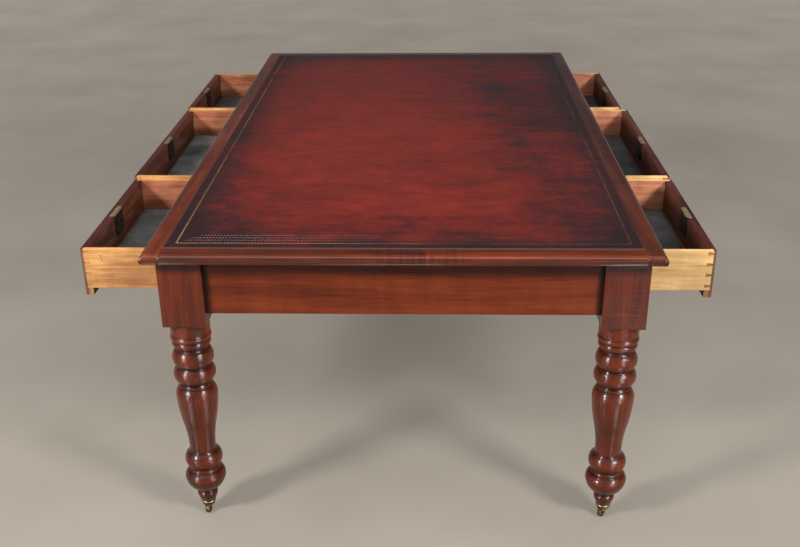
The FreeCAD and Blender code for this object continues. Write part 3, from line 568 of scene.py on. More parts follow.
# %% Leather with its tooling
def tooled_leather():
    """Dark dye over red hide from the dye attribute, with gilt and blind lines round the edge."""
    node, dress = new_material("dyed_tooled_leather", IOR=1.5, Specular_IOR_Level=0.29)
    spot = node("TexCoord")["Object"]
    cloud = node("TexNoise", {"Vector": spot, "Scale": 7.0, "Detail": 6.0, "Roughness": 0.62})["Fac"]
    fleck = node("TexNoise", {"Vector": spot, "Scale": 60.0, "Detail": 4.0})["Fac"]
    place = node("Mapping", {"Vector": spot, "Scale": (9.0, 26.0, 26.0)})[0]
    streak = node("TexNoise", {"Vector": place, "Scale": 1.0, "Detail": 5.0, "Roughness": 0.7,
                               "Distortion": 0.8})["Fac"]
    depth = node("Attribute", attribute_name="dye")["Fac"]
    for noise, low, high, most in ((cloud, 0.3, 0.7, 0.24), (streak, 0.32, 0.68, 0.24),
                                   (fleck, 0.3, 0.7, 0.12)):
        uneven = node("MapRange", [noise, low, high, -most, most])[0]
        depth = node("Math", [depth, uneven], operation="ADD")[0]
    shade = node("ValToRGB", [depth], stops=[
        (0.00, "#251516"), (0.28, "#341819"), (0.52, "#471a18"), (0.76, "#5c1d18"),
        (1.00, "#6a2119")])["Color"]
    lift = node("MapRange", [depth, 1.0, 1.3, 1.0, 1.3])[0]
    shade = node("VectorMath", {0: shade, "Scale": lift}, operation="SCALE")[0]

    # Sleeves have rubbed the near left corner, where the gilt is bright; the pale blind dashes there are
    # a painted sheen
    leaf, blind, outside, at_end = tooling(node, spot)
    corner = node("VectorMath", [spot, (-0.46, -0.94, 0.787)], operation="DISTANCE")["Value"]
    rub = node("TexNoise", {"Vector": spot, "Scale": 6.0, "Detail": 5.0, "Roughness": 0.7})["Fac"]
    rub = node("MapRange", [rub, 0.38, 0.62, 0.06, 0.62])[0]
    polished = node("MapRange", [corner, 0.1, 0.5, 0.5, 0.0])[0]
    kept = node("MapRange", [node("SeparateXYZ", [spot])["X"], -0.2, 0.5, 1.0, 0.3])[0]
    rub = node("Math", [rub, kept, polished], operation="MULTIPLY_ADD")[0]
    gilt = node("Math", [leaf, rub], operation="MULTIPLY")[0]
    pale = node("MapRange", [corner, 0.1, 0.42, 0.9, 0.06])[0]
    pale = node("Math", [pale, at_end], operation="MULTIPLY")[0]
    pale = node("Math", [pale, blind], operation="MULTIPLY")[0]
    frayed = node("MapRange", [outside, 24.0, 25.4, 0.0, 0.3])[0]
    for share, tint in ((pale, "#a3958e"), (gilt, "#b58f62"), (frayed, "#7d625a")):
        shade = node("Mix", {0: share, 6: shade, 7: linear(tint)}, data_type="RGBA")[2]

    cells = node("TexVoronoi", {"Vector": spot, "Scale": 620.0}, feature="SMOOTH_F1")["Distance"]
    crease = node("TexNoise", {"Vector": spot, "Scale": 26.0, "Detail": 5.0, "Distortion": 1.4})["Fac"]
    relief = node("Math", [cells, 0.6, crease], operation="MULTIPLY_ADD")[0]
    pressed = node("Math", [leaf, blind], operation="ADD")[0]
    relief = node("Math", [pressed, -0.8, relief], operation="MULTIPLY_ADD")[0]
    bump = node("Bump", {"Height": relief, "Strength": 0.35, "Distance": 0.0004})[0]
    rough = node("MapRange", [cloud, 0.3, 0.7, 0.36, 0.46])[0]
    metal = node("Math", [gilt, 0.4], operation="MULTIPLY")[0]
    return dress(Base_Color=shade, Metallic=metal, Roughness=rough, Normal=bump)


piece("leather_writing_surface", [leather_sheet()], tooled_leather(), "desk",
      ["writing_leather"], {"dye": dye})

# %% [markdown]
# ## The moulded border
#
# Four strips of mahogany frame the leather. Their outer edge is a thumb moulding: a small step down
# from the flat, a quarter round, and a hollow run back under it. Real ones are planed along the
# strip, and the same is done here: the outline of the edge is carried along the strip, and at a
# corner the two directions are added, which gives a mitre. The long strips run through and turn
# their moulding round the corner, and the end strips butt against them.

# %% Outline of the edge
TOP = (610.0, 1055.0)  # half its width and half its length
TOP_FACE, TOP_UNDER, ROUND_FOOT = 787.0, 764.0, 775.0  # heights


def edge_outline():
    """The moulded edge as (distance in from the widest line, height), round a closed outline."""
    turn = np.radians(np.linspace(0.0, 90.0, 16))
    quarter = np.stack([10.5 - 10.5 * np.sin(turn), ROUND_FOOT + 10.5 * np.cos(turn)], 1)
    drop = np.linspace(1.0, 10.6, 7)
    sweep = (3.0 ** 2 + 11.0 ** 2) / 6.0
    hollow = np.stack([sweep - np.sqrt(sweep ** 2 - drop ** 2), ROUND_FOOT - drop], 1)
    foot = np.array([(3.3, TOP_UNDER), (12.0, TOP_UNDER), (46.8, TOP_UNDER), (47.0, 764.2)])
    inner = np.array([(47.0, 780.0), (47.0, 786.6), (46.6, TOP_FACE)])
    flat = np.stack([np.linspace(44.0, 12.5, 10), np.full(10, TOP_FACE)], 1)
    arris = np.array([(11.3, TOP_FACE), (10.9, 786.9), (10.62, 786.6), (10.5, 786.1)])
    return np.concatenate([quarter, hollow, foot, inner, flat, arris])


EDGE = edge_outline()
print("the outline of the edge has", len(EDGE), "points")

# %% [markdown]
# A strip needs a section of the edge wherever it turns or is joined, and enough sections between for
# its wear to follow it.

# %% Carry the edge along a strip
def strip(keys, shares):
    """Carries the edge from one key section to the next: p = a + s (b - a) for each share s.

    A key is a corner on the widest line and the direction inwards, which is scaled by the distance
    in, so that at a corner the inner points move along both sides at once."""
    u, z = EDGE.T
    sections = [np.stack([x + dx * u, y + dy * u, z], 1) for x, y, dx, dy in keys]
    rows = []
    for (a, b), share in zip(zip(sections[:-1], sections[1:]), shares):
        rows.append(a + share[:-1, None, None] * (b - a))
    rows.append(sections[-1][None])
    grid = np.concatenate(rows)
    count, around = grid.shape[:2]
    caps = [list(range(around)), list(range((count - 1) * around, count * around))]
    return grid, grid_faces(count, around, ring=True).tolist() + caps


print("a strip of two sections has", len(strip([(0, 0, 0, 1), (9, 0, 0, 1)], [np.array([0, 1])])[1]),
      "faces")

# %% [markdown]
# The marks of a strip are three values kept on its points: wear from hands and cloths, a painted
# sheen and highlight, and the curl in the grain of the near strip. The timber reads them by name.

# %% Wear of the border
def rubbed(points):
    """Wear from hands and cloths: 0.2 on the arris above the quarter round, 0.7 on the near corners
    and 0.15 at the joints of the near strip, each times exp(-(distance / reach) ** 2) from there."""
    x, y, z = points.T
    edge = np.minimum(TOP[0] - np.abs(x), TOP[1] - np.abs(y))
    arris = 0.2 * np.exp(-((edge - 10.6) / 1.1) ** 2 - ((z - 786.6) / 1.2) ** 2)
    corner = np.hypot(TOP[0] - np.abs(x), y + TOP[1])
    chip = 0.7 * np.exp(-(corner / 7.0) ** 2 - ((z - 778.0) / 5.0) ** 2)
    joint = np.exp(-((np.abs(x) - LEATHER[0]) / 1.2) ** 2 - ((z - 779.0) / 7.0) ** 2)
    return arris + chip + 0.15 * joint * (y < 15.0 - TOP[1])


def painted_sheen(points):
    """1 on the flat of the left strip, a painted sheen, and at the top of the near round a painted
    highlight: a exp(-((height - 785 mm) / 2.3 mm) ** 2), where a is 0.7 on the near strip and 1.8 at
    the ends of the long strips."""
    x, y, z = points.T
    joint = LEATHER[0] - 0.01
    on_round = y < 10.55 - TOP[1]
    most = np.where(np.abs(x) > joint, 1.8, 0.7)
    worn = most * np.exp(-((z - 785.0) / 2.3) ** 2) * on_round
    return np.where((z > 786.5) & (x < -joint) & ~on_round, 1.0, worn)


def crossed(points):
    """The curl in the near strip: exp(-((x - 40) / 110) ** 4), which is flat over its middle."""
    return np.exp(-((points[:, 0] - 40.0) / 110.0) ** 4)


print("wear on the near arris:", rubbed(np.array([[0.0, 10.6 - TOP[1], 786.6]])).round(2))

# %% [markdown]
# Each strip has its own colours, partly from its own board and partly painted light: the left strip
# is lighter and the right one darker, and the right length of the near strip lighter, as the light
# falls on them. The near strip is made of two lengths, joined a little to the right of the middle,
# and it has the deepest polish, from the sleeves of all who sat or leant there.

# %% The four strips
END = np.concatenate([[0.0, 0.0006], np.linspace(0.004, 0.996, 60), [0.9994, 1.0]])
LONG = np.linspace(0.0, 1.0, 130)
SHORT = np.linspace(0.0, 1.0, 7)
NEAR_JOINT = 54.0  # where its two lengths meet, right of the middle
# Partly each board's own colour and partly painted light: left lighter, right darker, near_1 lighter
BORDER_SHADES = {"left": ("#38180d", "#4b2012", "#582715", "#6b3620"),
                 "right": ("#2d130d", "#3c1910", "#4a2114", "#5c2d1d"),
                 "near_0": ("#2c0f07", "#421708", "#531e0a", "#682a10"),
                 "near_1": ("#32120a", "#4b1b09", "#5f230b", "#763112"),
                 "far_0": ("#30130b", "#471d10", "#572513", "#6b331c")}
wide, far = TOP
joint = LEATHER[0]
for side, word in ((-1, "left"), (1, "right")):
    keys = [(joint * side, -far, 0, 1), (wide * side, -far, -side, 1), (wide * side, far, -side, -1),
            (joint * side, far, 0, -1)]
    wood = timber("polished_mahogany_border_" + word, "Y", (0.4 * side, 1.3, 0.2),
                  BORDER_SHADES[word], 0.5, 0.2, marks=("rubbed", "painted_sheen"))
    piece("moulded_border_" + word, [strip(keys, [SHORT, LONG, SHORT])], wood, "desk",
          ["top_border_" + word], {"rubbed": rubbed, "painted_sheen": painted_sheen})
for end, word, cuts in ((-1, "near", (-joint, NEAR_JOINT, joint)), (1, "far", (-joint, joint))):
    for number, (low, high) in enumerate(zip(cuts[:-1], cuts[1:])):
        name = "%s_%d" % (word, number)
        keys = [(low + 0.03, far * end, 0, -end), (high - 0.03, far * end, 0, -end)]
        wood = timber("polished_mahogany_border_" + name, "X", (0.7, 0.5 * end + number, 3.1),
                      BORDER_SHADES[name], 0.9, 0.2, bend=1.5,
                      marks=("rubbed", "crossed", "painted_sheen"))
        piece("moulded_border_" + name, [strip(keys, [END])], wood, "desk",
              ["top_border_" + word], {"rubbed": rubbed, "crossed": crossed, "painted_sheen": painted_sheen})

# %% [markdown]
# ## The legs
#
# Each leg is one post of mahogany: square at the top, where the aprons and rails are tenoned into
# it, and turned below on a lathe. The outline is a list of beads, hollows and a long vase, where a
# pair of numbers ends a straight cut and four numbers give a point on a round cut and its end. The
# outline is spun in 96 steps round the leg's own axis.

# %% Outline of a leg
LEG_SIZE = np.array([53.0, 546.0])  # widest radius, and height of the turning above the castor's rim
CUP_RIM = 37.0
LEG_CUTS = [  # radius and height as shares of the leg's size
    (0.330, 0.000), (0.420, 0.017, 0.498, 0.040), (0.490, 0.053, 0.415, 0.061), (0.402, 0.066),
    (0.430, 0.073), (0.755, 0.096, 0.996, 0.147), (0.953, 0.170, 0.783, 0.186), (0.757, 0.188),
    (0.783, 0.196, 0.736, 0.203), (0.723, 0.208), (0.745, 0.215), (0.913, 0.256, 0.698, 0.293),
    (0.645, 0.302, 0.632, 0.318), (0.688, 0.394, 0.802, 0.458), (0.950, 0.546, 0.992, 0.603),
    (0.949, 0.634, 0.802, 0.655), (0.774, 0.657), (0.811, 0.664, 0.764, 0.670), (0.730, 0.675),
    (0.764, 0.681), (1.000, 0.722, 0.811, 0.761), (0.785, 0.764), (0.811, 0.767),
    (0.981, 0.809, 0.840, 0.846), (0.792, 0.849), (0.728, 0.862, 0.811, 0.873), (0.849, 0.873),
    (0.917, 0.886, 0.868, 0.898), (0.853, 0.901), (0.877, 0.904), (0.962, 0.917, 0.887, 0.930),
    (0.868, 0.934), (0.928, 0.937), (0.936, 1.000),
]


def round_cut(a, m, b, steps):
    """Points on the circle through a, m and b, from a to b, as its centre plus a turning radius.

    As complex numbers, with w = (b - a) / (m - a), the centre is a + (m - a) (w - |w| ** 2) over
    2j times the imaginary part of w. The angles to the three points say which way round to go."""
    a, m, b = complex(*a), complex(*m), complex(*b)
    w = (b - a) / (m - a)
    centre = (m - a) * (w - abs(w) ** 2) / (2j * w.imag) + a
    first, middle, last = (np.angle(p - centre) for p in (a, m, b))
    sweep = (last - first) % (2 * np.pi)
    if (middle - first) % (2 * np.pi) > sweep:
        sweep -= 2 * np.pi
    at = centre + abs(a - centre) * np.exp(1j * (first + sweep * np.linspace(0, 1, steps + 1)[1:]))
    return np.stack([at.real, at.imag], 1)


def leg_outline():
    """The turned outline in mm as (radius, height), with two fine lines cut round the lowest ball."""
    rows = [np.array([LEG_CUTS[0]]) * LEG_SIZE]
    for cut in LEG_CUTS[1:]:
        if len(cut) == 2:
            rows.append(np.array([cut]) * LEG_SIZE)
        else:
            rows.append(round_cut(rows[-1][-1], cut[:2] * LEG_SIZE, cut[2:] * LEG_SIZE, 14))
    line = np.concatenate(rows) + [0.0, CUP_RIM]
    step = np.concatenate([[0], np.cumsum(np.hypot(*np.diff(line, axis=0).T))])
    fine = np.unique(np.concatenate([step, np.arange(0, step[-1], 1.1)]))
    line = np.stack([np.interp(fine, step, line[:, 0]), np.interp(fine, step, line[:, 1])], 1)
    for height in (108.0, 136.0):
        line[:, 0] -= 0.5 * np.exp(-((line[:, 1] - height) / 0.9) ** 2)
    head = [(line[-1, 0], 586.0), (0.0, 586.0)]
    return np.concatenate([[(0.0, 31.02), (16.9, 31.02), (16.9, CUP_RIM)], line, head])


LEG_LINE = leg_outline()
print("the outline of a leg has", len(LEG_LINE), "points")

# %% [markdown]
# A lathe turns the wood against a tool, and the same is done to the outline here. The square block
# above has its sharp edges taken off, and its corners are small eighths of a ball.

# %% Spin an outline, ease a block
def turned(outline, steps=96):
    """Spins (radius, height) round the upright axis: x = r cos a, y = r sin a, z = height."""
    angle = np.arange(steps) * 2 * np.pi / steps
    r, z = outline[:, 0, None], outline[:, 1, None]
    grid = np.stack(np.broadcast_arrays(r * np.cos(angle), r * np.sin(angle), z), -1)
    return grid, grid_faces(len(outline), steps, ring=True).tolist()


def eased_block(low, high, ease, steps=4):
    """A board with rounded edges: a small ball cut in eight, its eighths moved to the corners.

    With the ball's normal n, a point is at middle + sign(n) (half size - ease) + ease n."""
    low, high = np.array(low, float), np.array(high, float)
    middle, half = (low + high) / 2, (high - low) / 2 - ease
    quarter = np.radians(np.linspace(0, 90, steps + 1))
    rise = np.concatenate([quarter - np.pi / 2, quarter])
    up = np.repeat([-1.0, 1.0], steps + 1)
    angle = np.concatenate([quarter + k * np.pi / 2 for k in range(4)])
    sx = np.repeat([1.0, -1.0, -1.0, 1.0], steps + 1)
    sy = np.repeat([1.0, 1.0, -1.0, -1.0], steps + 1)
    x = sx * half[0] + ease * np.cos(rise)[:, None] * np.cos(angle)
    y = sy * half[1] + ease * np.cos(rise)[:, None] * np.sin(angle)
    z = (up * half[2] + ease * np.sin(rise))[:, None] + 0 * x
    grid = np.stack([x, y, z], -1) + middle
    rows, columns = grid.shape[:2]
    corners = np.arange(0, columns, steps + 1)
    caps = [corners.tolist(), ((rows - 1) * columns + corners).tolist()]
    return grid, grid_faces(rows, columns, ring=True).tolist() + caps


print("a block with rounded edges has", len(eased_block((0, 0, 0), (9, 9, 9), 1.0)[1]), "faces")

# %% [markdown]
# The grooves of a turning are darkened, partly by old wax and partly as painted shade, and the leg
# and its block grow darker towards their feet. To know how deep a groove is, each height is given the
# widest radius near it.

# %% The four legs
LEG_SHADES = ("#3c1408", "#5c200a", "#6f280c", "#823411")
LEG_AT = (528.0, 968.0)  # distances of a leg's axis from the middle of the desk
BLOCK, BLOCK_FOOT = 53.0, 583.0  # half its width, and the height of its lower end
HEIGHTS = np.arange(CUP_RIM, 587.0)
REACH = np.interp(HEIGHTS, LEG_LINE[3:-1, 1], LEG_LINE[3:-1, 0])
WIDEST = np.lib.stride_tricks.sliding_window_view(np.pad(REACH, 11, "edge"), 23).max(1)
CORNERS = {"left_near": (-1, -1), "left_far": (-1, 1), "right_near": (1, -1), "right_far": (1, 1)}


def wax_and_shade(points):
    """Dark in the grooves, partly old wax and partly painted shade, and darker towards the foot of
    the leg and of the square block.

    In a groove it is how far the radius is below the widest within 11 mm, over 9 mm, and elsewhere
    exp(-(height above the foot of the leg or block / 60 mm)), halved on the block."""
    x, y, z = points.T
    radius = np.hypot(np.abs(x) - LEG_AT[0], np.abs(y) - LEG_AT[1])
    groove = np.clip((np.interp(z, HEIGHTS, WIDEST) - radius) / 9.0, 0.0, 1.0)
    low = 0.75 * np.exp(-np.maximum(z - CUP_RIM, 0.0) / 60.0)
    block = 0.5 * np.exp(-np.maximum(z - BLOCK_FOOT, 0.0) / 60.0)
    return np.where(z < BLOCK_FOOT - 1.0, np.maximum(groove, low), block)


for name, (side, end) in CORNERS.items():
    at = np.array([LEG_AT[0] * side, LEG_AT[1] * end, 0.0])
    spun, spun_faces = turned(LEG_LINE)
    block = eased_block(at + [-BLOCK, -BLOCK, BLOCK_FOOT], at + [BLOCK, BLOCK, TOP_UNDER], 1.2)
    wood = timber("polished_mahogany_leg_" + name, "Z", (1.7 * side, 0.9 * end, 0.3),
                  LEG_SHADES, 0.7, 0.1, gloss=0.15, bands=30.0, marks=("wax_and_shade",))
    piece("turned_leg_" + name, [(spun + at, spun_faces), block], wood, "desk",
          ["leg_" + name], {"wax_and_shade": wax_and_shade}, flat=True)

# %% [markdown]
# The aprons are the two wide boards that tie the legs together at the ends. They have a flatter
# polish than the legs, with broad bands of growth, and painted shade darkens them beside the legs
# and under the top.

# %% Aprons at the two ends
for end, word in ((-1, "near"), (1, "far")):
    low, high = sorted((982.0 * end, 1006.0 * end))
    wood = timber("polished_mahogany_apron_" + word, "X", (0.3, 0.8 * end, 1.1),
                  ("#4a1a0c", "#6e2b12", "#813718", "#954822"), 0.45, 0.22, bands=60.0,
                  marks=("painted_joint_shade",))
    board = eased_block((-475, low, 614.5), (475, high, TOP_UNDER), 0.9)
    piece("apron_board_" + word, [board], wood, "desk", ["end_apron_" + word], flat=True)

# %% [markdown]
# ## Boards from the frame
#
# Drawer parts and rails have joints cut in them, so they are not made again: each is copied from its
# solid. The solid comes as loose triangles, so the copy is merged, its flat faces are joined, and a
# Bevel modifier takes off the edges as a stroke of glass paper does.

# %% Ease the edges of a solid
def eased_copy(solid, name, materials, ease=0.7, choose=None):
    """A merged copy of a solid with edges bevelled by ease mm. Choose numbers each face's material."""
    source = frame["nodes"][solid]
    mesh = source.data.copy()
    mesh.name = name
    work = bmesh.new()
    work.from_mesh(mesh)
    bmesh.ops.remove_doubles(work, verts=work.verts, dist=SAME_POINT)
    bmesh.ops.dissolve_limit(work, angle_limit=0.01, verts=work.verts, edges=work.edges)
    work.to_mesh(mesh)
    work.free()
    mesh.shade_smooth()
    mesh.materials.clear()
    for material in materials:
        mesh.materials.append(material)
    if choose:
        centres = np.array([p.center for p in mesh.polygons]) * 1000
        normals = np.array([p.normal for p in mesh.polygons])
        mesh.polygons.foreach_set("material_index", choose(centres, normals).astype(np.int32))
    made = bpy.data.objects.new(name, mesh)
    bpy.context.collection.objects.link(made)
    bevel = made.modifiers.new("eased_edges", "BEVEL")
    bevel.width = ease / 1000
    bevel.segments = 2
    bevel.limit_method = "ANGLE"
    bevel.angle_limit = np.radians(35)
    made.modifiers.new("flat_faces", "WEIGHTED_NORMAL").weight = 100
    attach(made, body_of(source)[0])
    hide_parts(solid)
    print(name, "has", len(mesh.polygons), "faces")
    return made


def finish_solid(solid, material):
    """Gives its material to a solid that is kept as it is."""
    for holder in frame["nodes"][solid].material_slots:
        holder.material = material


print("loose triangles of the rails:", len(frame["nodes"]["drawer_rails"].data.polygons))

# %% [markdown]
# The rails above and below the drawers are polished like the fronts. The frame inside, the runners
# and the board under the leather are never seen from outside, so they are plain planed pine.

# %% Rails and inner frame
rail_wood = timber("polished_mahogany_rails", "Y", (0.1, 2.2, 0.6),
                   ("#3b150c", "#5c2412", "#702f17", "#863e20"), 0.5, 0.22)
eased_copy("drawer_rails", "face_rails", [rail_wood])
plain_pine = timber("planed_pine", "Y", (0.5, 0.2, 0.9), ("#6e4424", "#9c6a3a", "#b98449", "#cf9d61"),
                    0.0, 0.5, 0.3, 0.1, 30.0, 4.0)
for name in ("inner_frame", "runners_and_kickers", "top_ground_board"):
    finish_solid(name, plain_pine)

# %% [markdown]
# ## Drawers
#
# A drawer of this age has a mahogany front and thin pine sides dovetailed to it, with the grain
# running along each board. Inside it is wiped with a red brown stain, and the bottom is lined with
# blue grey paper. The outer faces of the sides never saw a finish, and have gone orange with age.
# Each side has its own colours: those on the right are lighter, partly the wood's own tone and partly
# painted light for the stronger light on that side.

# %% Colours of the drawers
DRAWERS = {"near": 518.0, "middle": 716.0, "far": 518.0}  # widths
SIDE_BOARD = 14.0  # the 13 mm of a side and a little more
LINING_GAP, SIDE_FACE = 6.0, 13.2  # from the ends of the bottom, and from the outsides of the box
# The right hand colours are lighter, partly their own tone and partly painted light
OUTSIDE = {"left": ("#9d6838", "#c68a50", "#dba160", "#e8b471"),
           "right": ("#c69559", "#e3b471", "#f1c584", "#f8d396")}
STAINED = {"left": ("#713e2c", "#9d593d", "#b26b49", "#c67f56"),
           "right": ("#92533d", "#c77b5a", "#e0916b", "#f0a67d")}
BLUSH = {"left": "#b3724b", "right": "#e2ae78"}
# Painted shade: each drawer's lining made darker or lighter for the light that reaches into it
PAINTED_PAPER_SHADE = {"left_near": 0.85, "left_middle": 1.2, "left_far": 0.95,
               "right_near": 0.6, "right_middle": 0.65, "right_far": 0.85}
PINS = {"left": "#c08a55", "right": "#a8703f"}
print("drawers on each side:", list(DRAWERS))

# %% [markdown]
# End grain is the cut ends of the fibres, and drinks up stain. At the end of a drawer front the lap
# of the dovetails hides the first few millimetres, and the pale ends of the pins show behind it. The
# line between them is at one depth, so it is drawn from the distance to the face.

# %% End grain
def end_grain(name, side, face, pins):
    """The end of a drawer front: two colours of end grain that meet 8.5 mm behind the face, where
    the lap ends and the pins begin, with dark rings 1.6 mm wide in both."""
    node, dress = new_material(name, Roughness=0.6, Specular_IOR_Level=0.3)
    spot = node("TexCoord")["Object"]
    across = node("SeparateXYZ", [spot])["X"]
    behind = node("Math", [across, -side, side * face / 1000], operation="MULTIPLY_ADD")[0]
    lap = node("MapRange", [behind, 0.0083, 0.0087])[0]
    rings = node("TexNoise", {"Vector": spot, "Scale": 620.0, "Detail": 3.0})["Fac"]
    cloud = node("TexNoise", {"Vector": spot, "Scale": 60.0, "Detail": 3.0})["Fac"]
    tone = node("Mix", {0: lap, 6: linear("#7d4f3c"), 7: linear(pins)}, data_type="RGBA")[2]
    bright = node("MapRange", [rings, 0.3, 0.7, 0.75, 1.15])[0]
    worn = node("MapRange", [cloud, 0.3, 0.7, 0.85, 1.12])[0]
    bright = node("Math", [bright, worn], operation="MULTIPLY")[0]
    tone = node("VectorMath", {0: tone, "Scale": bright}, operation="SCALE")[0]
    bump = node("Bump", {"Height": rings, "Strength": 0.3, "Distance": 0.0002})[0]
    return dress(Base_Color=tone, Normal=bump)


print("pins show from 8.5 mm behind the face, in", PINS)

# %% [markdown]
# The lining is a sheet of blue grey paper, glued down long ago. Where the glue let go it lifts in
# slow waves, and dust and stains have dulled it unevenly. Each drawer's paper is also made darker or
# lighter as painted shade, for the light that reaches into that drawer.

# %% Lining paper
def lining_sheet(low, high):
    """A sheet of paper 0.5 mm thick, which lifts by up to 0.4 mm in slow waves where the glue let go."""
    x = np.concatenate([low[:1], np.linspace(low[0], high[0], 60), high[:1]])
    y = np.concatenate([low[1:2], np.linspace(low[1], high[1], 60), high[1:2]])
    gx, gy = np.meshgrid(x, y, indexing="ij")
    wave = 0.2 * np.sin(gx / 47.0 + gy / 61.0) + 0.2 * np.sin(gx / 23.0 - gy / 33.0 + 2.0)
    height = high[2] - 0.4 + wave
    height[[0, -1], :] = low[2]
    height[:, [0, -1]] = low[2]
    return closed_grid(np.stack([gx, gy, height], -1))


def lining_paper(name, shift, light):
    """Lining paper, dusty and rubbed, in a blue grey scaled by light, a painted shade for that drawer.
    """
    node, dress = new_material(name, Roughness=0.62, Specular_IOR_Level=0.3)
    place = node("Mapping", {"Vector": node("TexCoord")["Object"], "Location": shift})[0]
    stain = node("TexNoise", {"Vector": place, "Scale": 9.0, "Detail": 7.0, "Roughness": 0.65})["Fac"]
    fibre = node("TexNoise", {"Vector": place, "Scale": 420.0, "Detail": 2.0})["Fac"]
    mix = node("Mix", {0: 0.2, 2: stain, 3: fibre}, data_type="FLOAT")[0]
    shade = node("ValToRGB", [mix], stops=[
        (0.32, "#3f4142"), (0.45, "#5e6061"), (0.56, "#737576"), (0.7, "#8f9191")])["Color"]
    shade = node("VectorMath", {0: shade, "Scale": light}, operation="SCALE")[0]
    bump = node("Bump", {"Height": mix, "Strength": 0.3, "Distance": 0.0003})[0]
    return dress(Base_Color=shade, Normal=bump)


# These shares are painted shade for each drawer
print("dulled to these shares of the light:", PAINTED_PAPER_SHADE)

# %% [markdown]
# One solid can show several woods, so each of its faces is given the number of its material from
# where it is and which way it faces.

# %% Which wood each face shows
def by_front(side, centres, normals):
    """Polish on the face, stain behind, a rubbed top edge and bare end grain."""
    kind = np.where(normals[:, 0] * side < -0.5, 1, 0)
    kind = np.where(normals[:, 2] > 0.9, 3, kind)
    return np.where(np.abs(normals[:, 1]) > 0.9, 2, kind)


def by_side(middle, half, centres, normals):
    """Bare wood outside and on top of the sides, stain inside, and the back board's own grain."""
    out = np.abs(centres[:, 1] - middle)
    facing = normals[:, 1] * np.sign(centres[:, 1] - middle)
    return np.where(out < half - SIDE_BOARD, 2, np.where(facing < -0.5, 1, 0))


print("the face of a front shows wood number", *by_front(-1, np.zeros((1, 3)), np.array([[-1, 0, 0]])))

# %% [markdown]
# All six drawers are built in one loop. Each gets woods of its own, cut from another place in the
# tree, so that no two drawers look alike.

# %% Build the drawers
for side_number, (side, hand) in enumerate(((-1, "left"), (1, "right"))):
    for number, (slot, width) in enumerate(DRAWERS.items()):
        name = "%s_%s" % (hand, slot)
        shift = (1.3 * side_number + 0.37 * number, 0.61 * number, 0.19 * number)
        front_low, front_high = (np.array(c) * 1000 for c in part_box("drawer_front_" + name))
        middle = (front_low[1] + front_high[1]) / 2

        face_wood = timber("polished_mahogany_front_" + name, "Y", shift,
                           ("#3c150c", "#622612", "#783217", "#8e4120"), 0.7, 0.14)
        back_wood = timber("stained_mahogany_back_" + name, "Y", shift,
                           ("#28120b", "#472317", "#5a2e1e", "#70412c"), 0.1, 0.4, pores=0.4,
                           blush="#66432f")
        edge_wood = timber("rubbed_mahogany_edge_" + name, "Y", shift,
                           ("#281111", "#3f1d1c", "#512724", "#673932"), 0.3, 0.3)
        front = front_high[0] if side > 0 else front_low[0]
        end_wood = end_grain("end_grain_mahogany_" + name, side, front, PINS[hand])
        woods = [face_wood, back_wood, end_wood, edge_wood]
        eased_copy("drawer_front_" + name, "drawer_face_" + name, woods, 0.8,
                           partial(by_front, side))

        bare = timber("aged_pine_" + name, "X", shift, OUTSIDE[hand], 0.05, 0.5, 0.3, 0.15, 16.0, 2.2,
                      blush=BLUSH[hand])
        stained = timber("stained_pine_" + name, "X", shift, STAINED[hand], 0.15, 0.4, 0.3, 0.2, 22.0,
                         3.0, blush="#b58068")
        across = timber("stained_pine_back_" + name, "Y", shift, STAINED[hand], 0.15, 0.4, 0.3, 0.2,
                        22.0, 3.0)
        eased_copy("drawer_box_" + name, "drawer_sides_" + name, [bare, stained, across], 0.6,
                           partial(by_side, middle, width / 2))
        finish_solid("drawer_bottom_" + name, plain_pine)

        # The lining lies on the bottom, clear of its groove in the front and close to the sides
        low, high = (np.array(c) * 1000 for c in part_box("drawer_bottom_" + name))
        box_low, box_high = (np.array(c) * 1000 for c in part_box("drawer_box_" + name))
        low[:2], high[:2] = ((low[0] + LINING_GAP, box_low[1] + SIDE_FACE),
                             (high[0] - LINING_GAP, box_high[1] - SIDE_FACE))
        low[2], high[2] = high[2] + 0.02, high[2] + 0.9
        paper = lining_paper("lining_paper_" + name, shift, PAINTED_PAPER_SHADE[name])
        piece("drawer_lining_" + name, [lining_sheet(low, high)], paper, "drawer_" + name)

# %% [markdown]
# ## Brass and iron
#
# The castors, lock plates and escutcheons are cast or rolled brass, which goes brown where no hand
# reaches it and stays bright where one does. The locks themselves are iron plate, blacked in the
# forge and rusted a little since. A metal has no colour of its own under its surface, so its base
# colour is the colour of its reflection.

